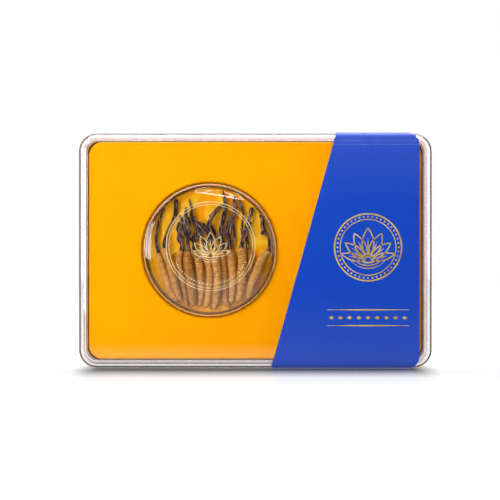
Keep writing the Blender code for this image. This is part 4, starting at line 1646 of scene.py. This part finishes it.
def makeSleeveMesh():
    loop = sleeveLoop()
    count, across, thick = len(loop), sleeve["acrossSteps"], sleeve["card"]
    shape = bmesh.new()
    glintLayer = shape.verts.layers.float.new("creaseGlint")
    outer, inner = [], []
    for i, (y, z, creaseGlint) in enumerate(loop):
        before, after = loop[i - 1], loop[(i + 1) % count]
        way = Vector((after[0] - before[0], after[1] - before[1])).normalized()
        inwards = Vector((way.y, -way.x))
        if inwards.dot(Vector((-y, -z))) < 0:
            inwards = -inwards
        ends = sleeveLeft(z), sleeveRight(z)
        outer.append(sleeveRow(shape, y, sleeveMiddle + z, *ends))
        inner.append(sleeveRow(shape, y + inwards.x * thick, sleeveMiddle + z + inwards.y * thick, *ends))
        # the painted highlight along the creases
        for vert in outer[-1]:
            vert[glintLayer] = creaseGlint
    for i in range(count):
        j = (i + 1) % count
        for step in range(across):
            shape.faces.new((outer[i][step], outer[i][step + 1], outer[j][step + 1], outer[j][step]))
            face = shape.faces.new((inner[i][step], inner[j][step], inner[j][step + 1], inner[i][step + 1]))
            face.material_index = 1
        for step in (0, across):
            face = shape.faces.new((outer[i][step], outer[j][step], inner[j][step], inner[i][step]))
            face.material_index = 1
    bmesh.ops.recalc_face_normals(shape, faces=shape.faces)
    return meshFrom("card_sleeve", shape, 35)


def sleeveLeft(z):
    share = (sleeveHalf - z) / (2 * sleeveHalf)
    return sleeve["leftTop"] + (sleeve["leftFoot"] - sleeve["leftTop"]) * share


def sleeveRight(z):
    # the right edge pulls in around the corners at the top and the foot
    corner = sleeve["corner"]
    into = max(0.0, abs(z) - (sleeveHalf - corner))
    return sleeve["right"] - corner + math.sqrt(max(0.0, corner**2 - into**2))


def makeSleeve(blue, core):
    piece = addPiece("card_sleeve", makeSleeveMesh(), [blue, core])
    keepPiece(piece, ["sleeve"])


def makeGlueLap(blue):
    # on the back the card's end is glued over its start
    shape = bmesh.new()
    low, high = (sleeve["lapMiddle"] + side * sleeve["lapHeight"] / 2 for side in (-1, 1))
    inset = sleeve["lapInset"]
    corners = [(sleeveLeft(low) + inset, low), (sleeveRight(low) - inset, low)]
    corners += [(sleeveRight(high) - inset, high), (sleeveLeft(high) + inset, high)]
    rings = []
    for y in (sleeveHigh.y, sleeveHigh.y + sleeve["card"]):
        rings.append([shape.verts.new((x, y, sleeveMiddle + z)) for x, z in corners])
    joinRings(shape, rings)
    shape.faces.new(rings[0])
    shape.faces.new(rings[1])
    bmesh.ops.recalc_face_normals(shape, faces=shape.faces)
    keepPiece(addPiece("glue_lap", meshFrom("glue_lap", shape), [blue]))


blueCard = makeBlueCard()
makeSleeve(blueCard, makeCardCore())
makeGlueLap(blueCard)
print("card sleeve is made")


# Gold ornament: foil on the sleeve, and fine print on the dome

gold = {
    "foil": ((0.60, 0.36, 0.04), (1.0, 0.74, 0.20), 0.2, 0.32),
    "print": ((0.80, 0.56, 0.20), (1.0, 0.86, 0.48), 0.05, 0.40),
    "proud": 0.015 * mm,
    "thick": 0.045 * mm,
    "grain": 0.02 * mm,
}

medallion = {
    "middle": (72.6 * mm, 78.5 * mm),
    "rings": ((21.6 * mm, 0.95 * mm), (18.0 * mm, 0.6 * mm)),
    "line": 0.8 * mm,
    "beadRadius": 19.8 * mm,
    "beadSize": (1.2 * mm, 1.2 * mm),
    "beads": 44,
    "lotusDown": 8.6 * mm,
    "lotusReach": 21.0 * mm,
    "rules": ((46.0 * mm, 99.2 * mm, 38.2 * mm), (46.0 * mm, 99.2 * mm, 28.0 * mm)),
    "ruleLine": 0.9 * mm,
    "lozenges": 9,
    "lozengeSize": (3.4 * mm, 2.3 * mm),
}

lidPrint = {
    "middle": (-28.96 * mm, 79.2 * mm),
    "rings": ((28.8 * mm, 0.42 * mm), (27.1 * mm, 0.32 * mm)),
    "line": 0.36 * mm,
    "dotRadius": 24.6 * mm,
    "dotSize": (0.85 * mm, 0.85 * mm),
    "dotArc": (205, 335),
    "dots": 31,
    "lotusDown": 6.5 * mm,
    "lotusReach": 15.5 * mm,
}

# Petals: angle in degrees, reach and width as shares of the whole. The veins and waves are shares of it too.
lotus = {
    "petals": [
        (90, 1.0, 0.36), (63, 0.93, 0.32), (117, 0.93, 0.32), (38, 0.88, 0.28),
        (142, 0.88, 0.28), (14, 0.84, 0.22), (166, 0.84, 0.22),
    ],
    "petalStart": 0.12,
    "petalSteps": 22,
    "veinStart": 0.30,
    "veinStep": 0.05,
    "waveRise": 0.46,
    "waveArc": (222, 318),
}


def makeGold(name, deep, bright, metal, roughness):
    material, tree, shader = newMaterial(name, {"Metallic": metal, "Roughness": roughness})
    spot = objectPlace(tree)
    grain = noiseValue(spot, 1400.0, 2.0)
    share = plus(noiseValue(spot, 110.0, 3.0), aboutHalf(grain, 0.5))
    feed(shader, "Base Color", mixed(mapped(share, 0.32, 0.66), deep, bright))
    addBump(shader, grain, gold["grain"], 0.6)
    return material


def onSleeve(x, z, lift):
    return (x, -sleeveHigh.y - lift, z)


def onDome(x, z, lift):
    reach = math.hypot(x - capsuleX, z - capsuleZ)
    radius = capsule["domeRadius"]
    return (x, place[1] - capsule["lidHeight"] + radius - math.sqrt(radius**2 - reach**2) - lift, z)


def addRibbon(shape, line, width, surface, closed=False):
    # a thin raised line, which narrows to both ends unless it is closed
    count = len(line)
    low, high = gold["proud"], gold["thick"]
    rings = []
    for i, (x, z) in enumerate(line):
        before = line[i - 1] if closed or i else line[i]
        after = line[(i + 1) % count] if closed or i < count - 1 else line[i]
        way = Vector((after[0] - before[0], after[1] - before[1])).normalized()
        full = 1.0 if closed else max(0.35, math.sin(math.pi * i / (count - 1)))
        sideX, sideZ = -way.y * width * full / 2, way.x * width * full / 2
        corners = [(1, low), (-1, low), (-1, high), (1, high)]
        rings.append([shape.verts.new(surface(x + sideX * s, z + sideZ * s, lift)) for s, lift in corners])
    joinRings(shape, [*rings, rings[0]] if closed else rings)
    if not closed:
        shape.faces.new(rings[0])
        shape.faces.new(rings[-1])


def alongRay(middle, turn, out, across=0.0):
    return (
        middle[0] + out * math.cos(turn) - across * math.sin(turn),
        middle[1] + out * math.sin(turn) + across * math.cos(turn),
    )


def petalLine(middle, turn, reach, width):
    # a pointed petal, drawn from its foot up one side and down the other
    start, steps = lotus["petalStart"], lotus["petalSteps"]
    points = []
    for side in (1, -1):
        for i in range(steps + 1):
            share = i / steps if side > 0 else 1 - i / steps
            out = reach * (start + (1 - start) * share)
            across = side * width / 2 * math.sin(math.pi * share) ** 0.8 * (1.15 - 0.3 * share)
            points.append(alongRay(middle, turn, out, across))
    return points[:steps] + points[steps + 1:-1]


def addLotus(shape, middle, reach, line, surface):
    for angle, share, width in lotus["petals"]:
        turn = math.radians(angle)
        addRibbon(shape, petalLine(middle, turn, reach * share, reach * width), line, surface, True)
        vein = [(lotus["veinStart"] + lotus["veinStep"] * i) * reach * share for i in range(9)]
        addRibbon(shape, [alongRay(middle, turn, out) for out in vein], line * 0.9, surface)
    for number in range(3):
        foot = (middle[0], middle[1] + reach * lotus["waveRise"])
        wave = arc(foot, reach * (0.52 + 0.09 * number), *lotus["waveArc"], 26)
        addRibbon(shape, wave, line * (1.3 - 0.25 * number), surface)


def makeOrnament(name, layout, surface, material):
    shape = bmesh.new()
    for radius, width in layout["rings"]:
        addRibbon(shape, arc(layout["middle"], radius, 0, 357.5, 143), width, surface, True)
    middle = (layout["middle"][0], layout["middle"][1] - layout["lotusDown"])
    addLotus(shape, middle, layout["lotusReach"], layout["line"], surface)
    for left, right, height in layout.get("rules", ()):
        rule = [(left + (right - left) * i / 30, height) for i in range(31)]
        addRibbon(shape, rule, layout["ruleLine"], surface)
    bmesh.ops.recalc_face_normals(shape, faces=shape.faces)
    keepPiece(addPiece(name, meshFrom(name, shape, 30), [material]))


def makeRowTree():
    # a flat motif with any number of sides at each point that it is given
    tree, enter, leave = newGroup("motifRow", "GeometryNodeTree", [
        ("Geometry", "NodeSocketGeometry", None),
        ("Material", "NodeSocketMaterial", None),
        ("Sides", "NodeSocketInt", 12),
        ("Size", "NodeSocketVector", (1.0, 1.0, 1.0)),
    ], [("Geometry", "NodeSocketGeometry")])
    motif = addNode(tree, "GeometryNodeMeshCylinder", inputs={
        "Vertices": enter.outputs["Sides"], "Radius": 0.5, "Depth": 1.0,
    })
    upright = addNode(tree, "GeometryNodeTransform", inputs={
        "Geometry": motif.outputs["Mesh"], "Rotation": (math.radians(90), 0, 0),
    })
    sized = addNode(tree, "GeometryNodeTransform", inputs={
        "Geometry": upright.outputs[0], "Scale": enter.outputs["Size"],
    })
    row = addNode(tree, "GeometryNodeInstanceOnPoints", inputs={
        "Points": enter.outputs["Geometry"], "Instance": sized.outputs[0],
    })
    feed(leave, "Geometry", dressed(tree, row.outputs[0], enter))
    return tree


def makeRow(name, spots, surface, sides, size, material):
    lift = (gold["proud"] + gold["thick"]) / 2
    mesh = bpy.data.meshes.new(name)
    mesh.from_pydata([surface(x, z, lift) for x, z in spots], [], [])
    piece = addPiece(name, mesh, [])
    row = piece.modifiers.new("row", "NODES")
    row.node_group = rowTree
    setInput(row, "Material", material)
    setInput(row, "Sides", sides)
    setInput(row, "Size", (size[0], gold["thick"] - gold["proud"], size[1]))
    plainMesh(piece)
    keepPiece(piece)


def lozengeSpots():
    left, right, high = medallion["rules"][0]
    middle = (high + medallion["rules"][1][2]) / 2
    count = medallion["lozenges"]
    return [(left + (right - left) * (i + 0.5) / count, middle) for i in range(count)]


rowTree = makeRowTree()
goldFoil = makeGold("goldFoil", *gold["foil"])
goldPrint = makeGold("goldPrint", *gold["print"])
makeOrnament("foil_medallion", medallion, onSleeve, goldFoil)
lastBead = 360 - 360 / medallion["beads"]
beadSpots = arc(medallion["middle"], medallion["beadRadius"], 0, lastBead, medallion["beads"] - 1)
makeRow("foil_beads", beadSpots, onSleeve, 12, medallion["beadSize"], goldFoil)
makeRow("foil_lozenges", lozengeSpots(), onSleeve, 4, medallion["lozengeSize"], goldFoil)
makeOrnament("lid_print", lidPrint, onDome, goldPrint)
dotSpots = arc(lidPrint["middle"], lidPrint["dotRadius"], *lidPrint["dotArc"], lidPrint["dots"] - 1)
makeRow("lid_dots", dotSpots, onDome, 12, lidPrint["dotSize"], goldPrint)
print("gold ornament is made")
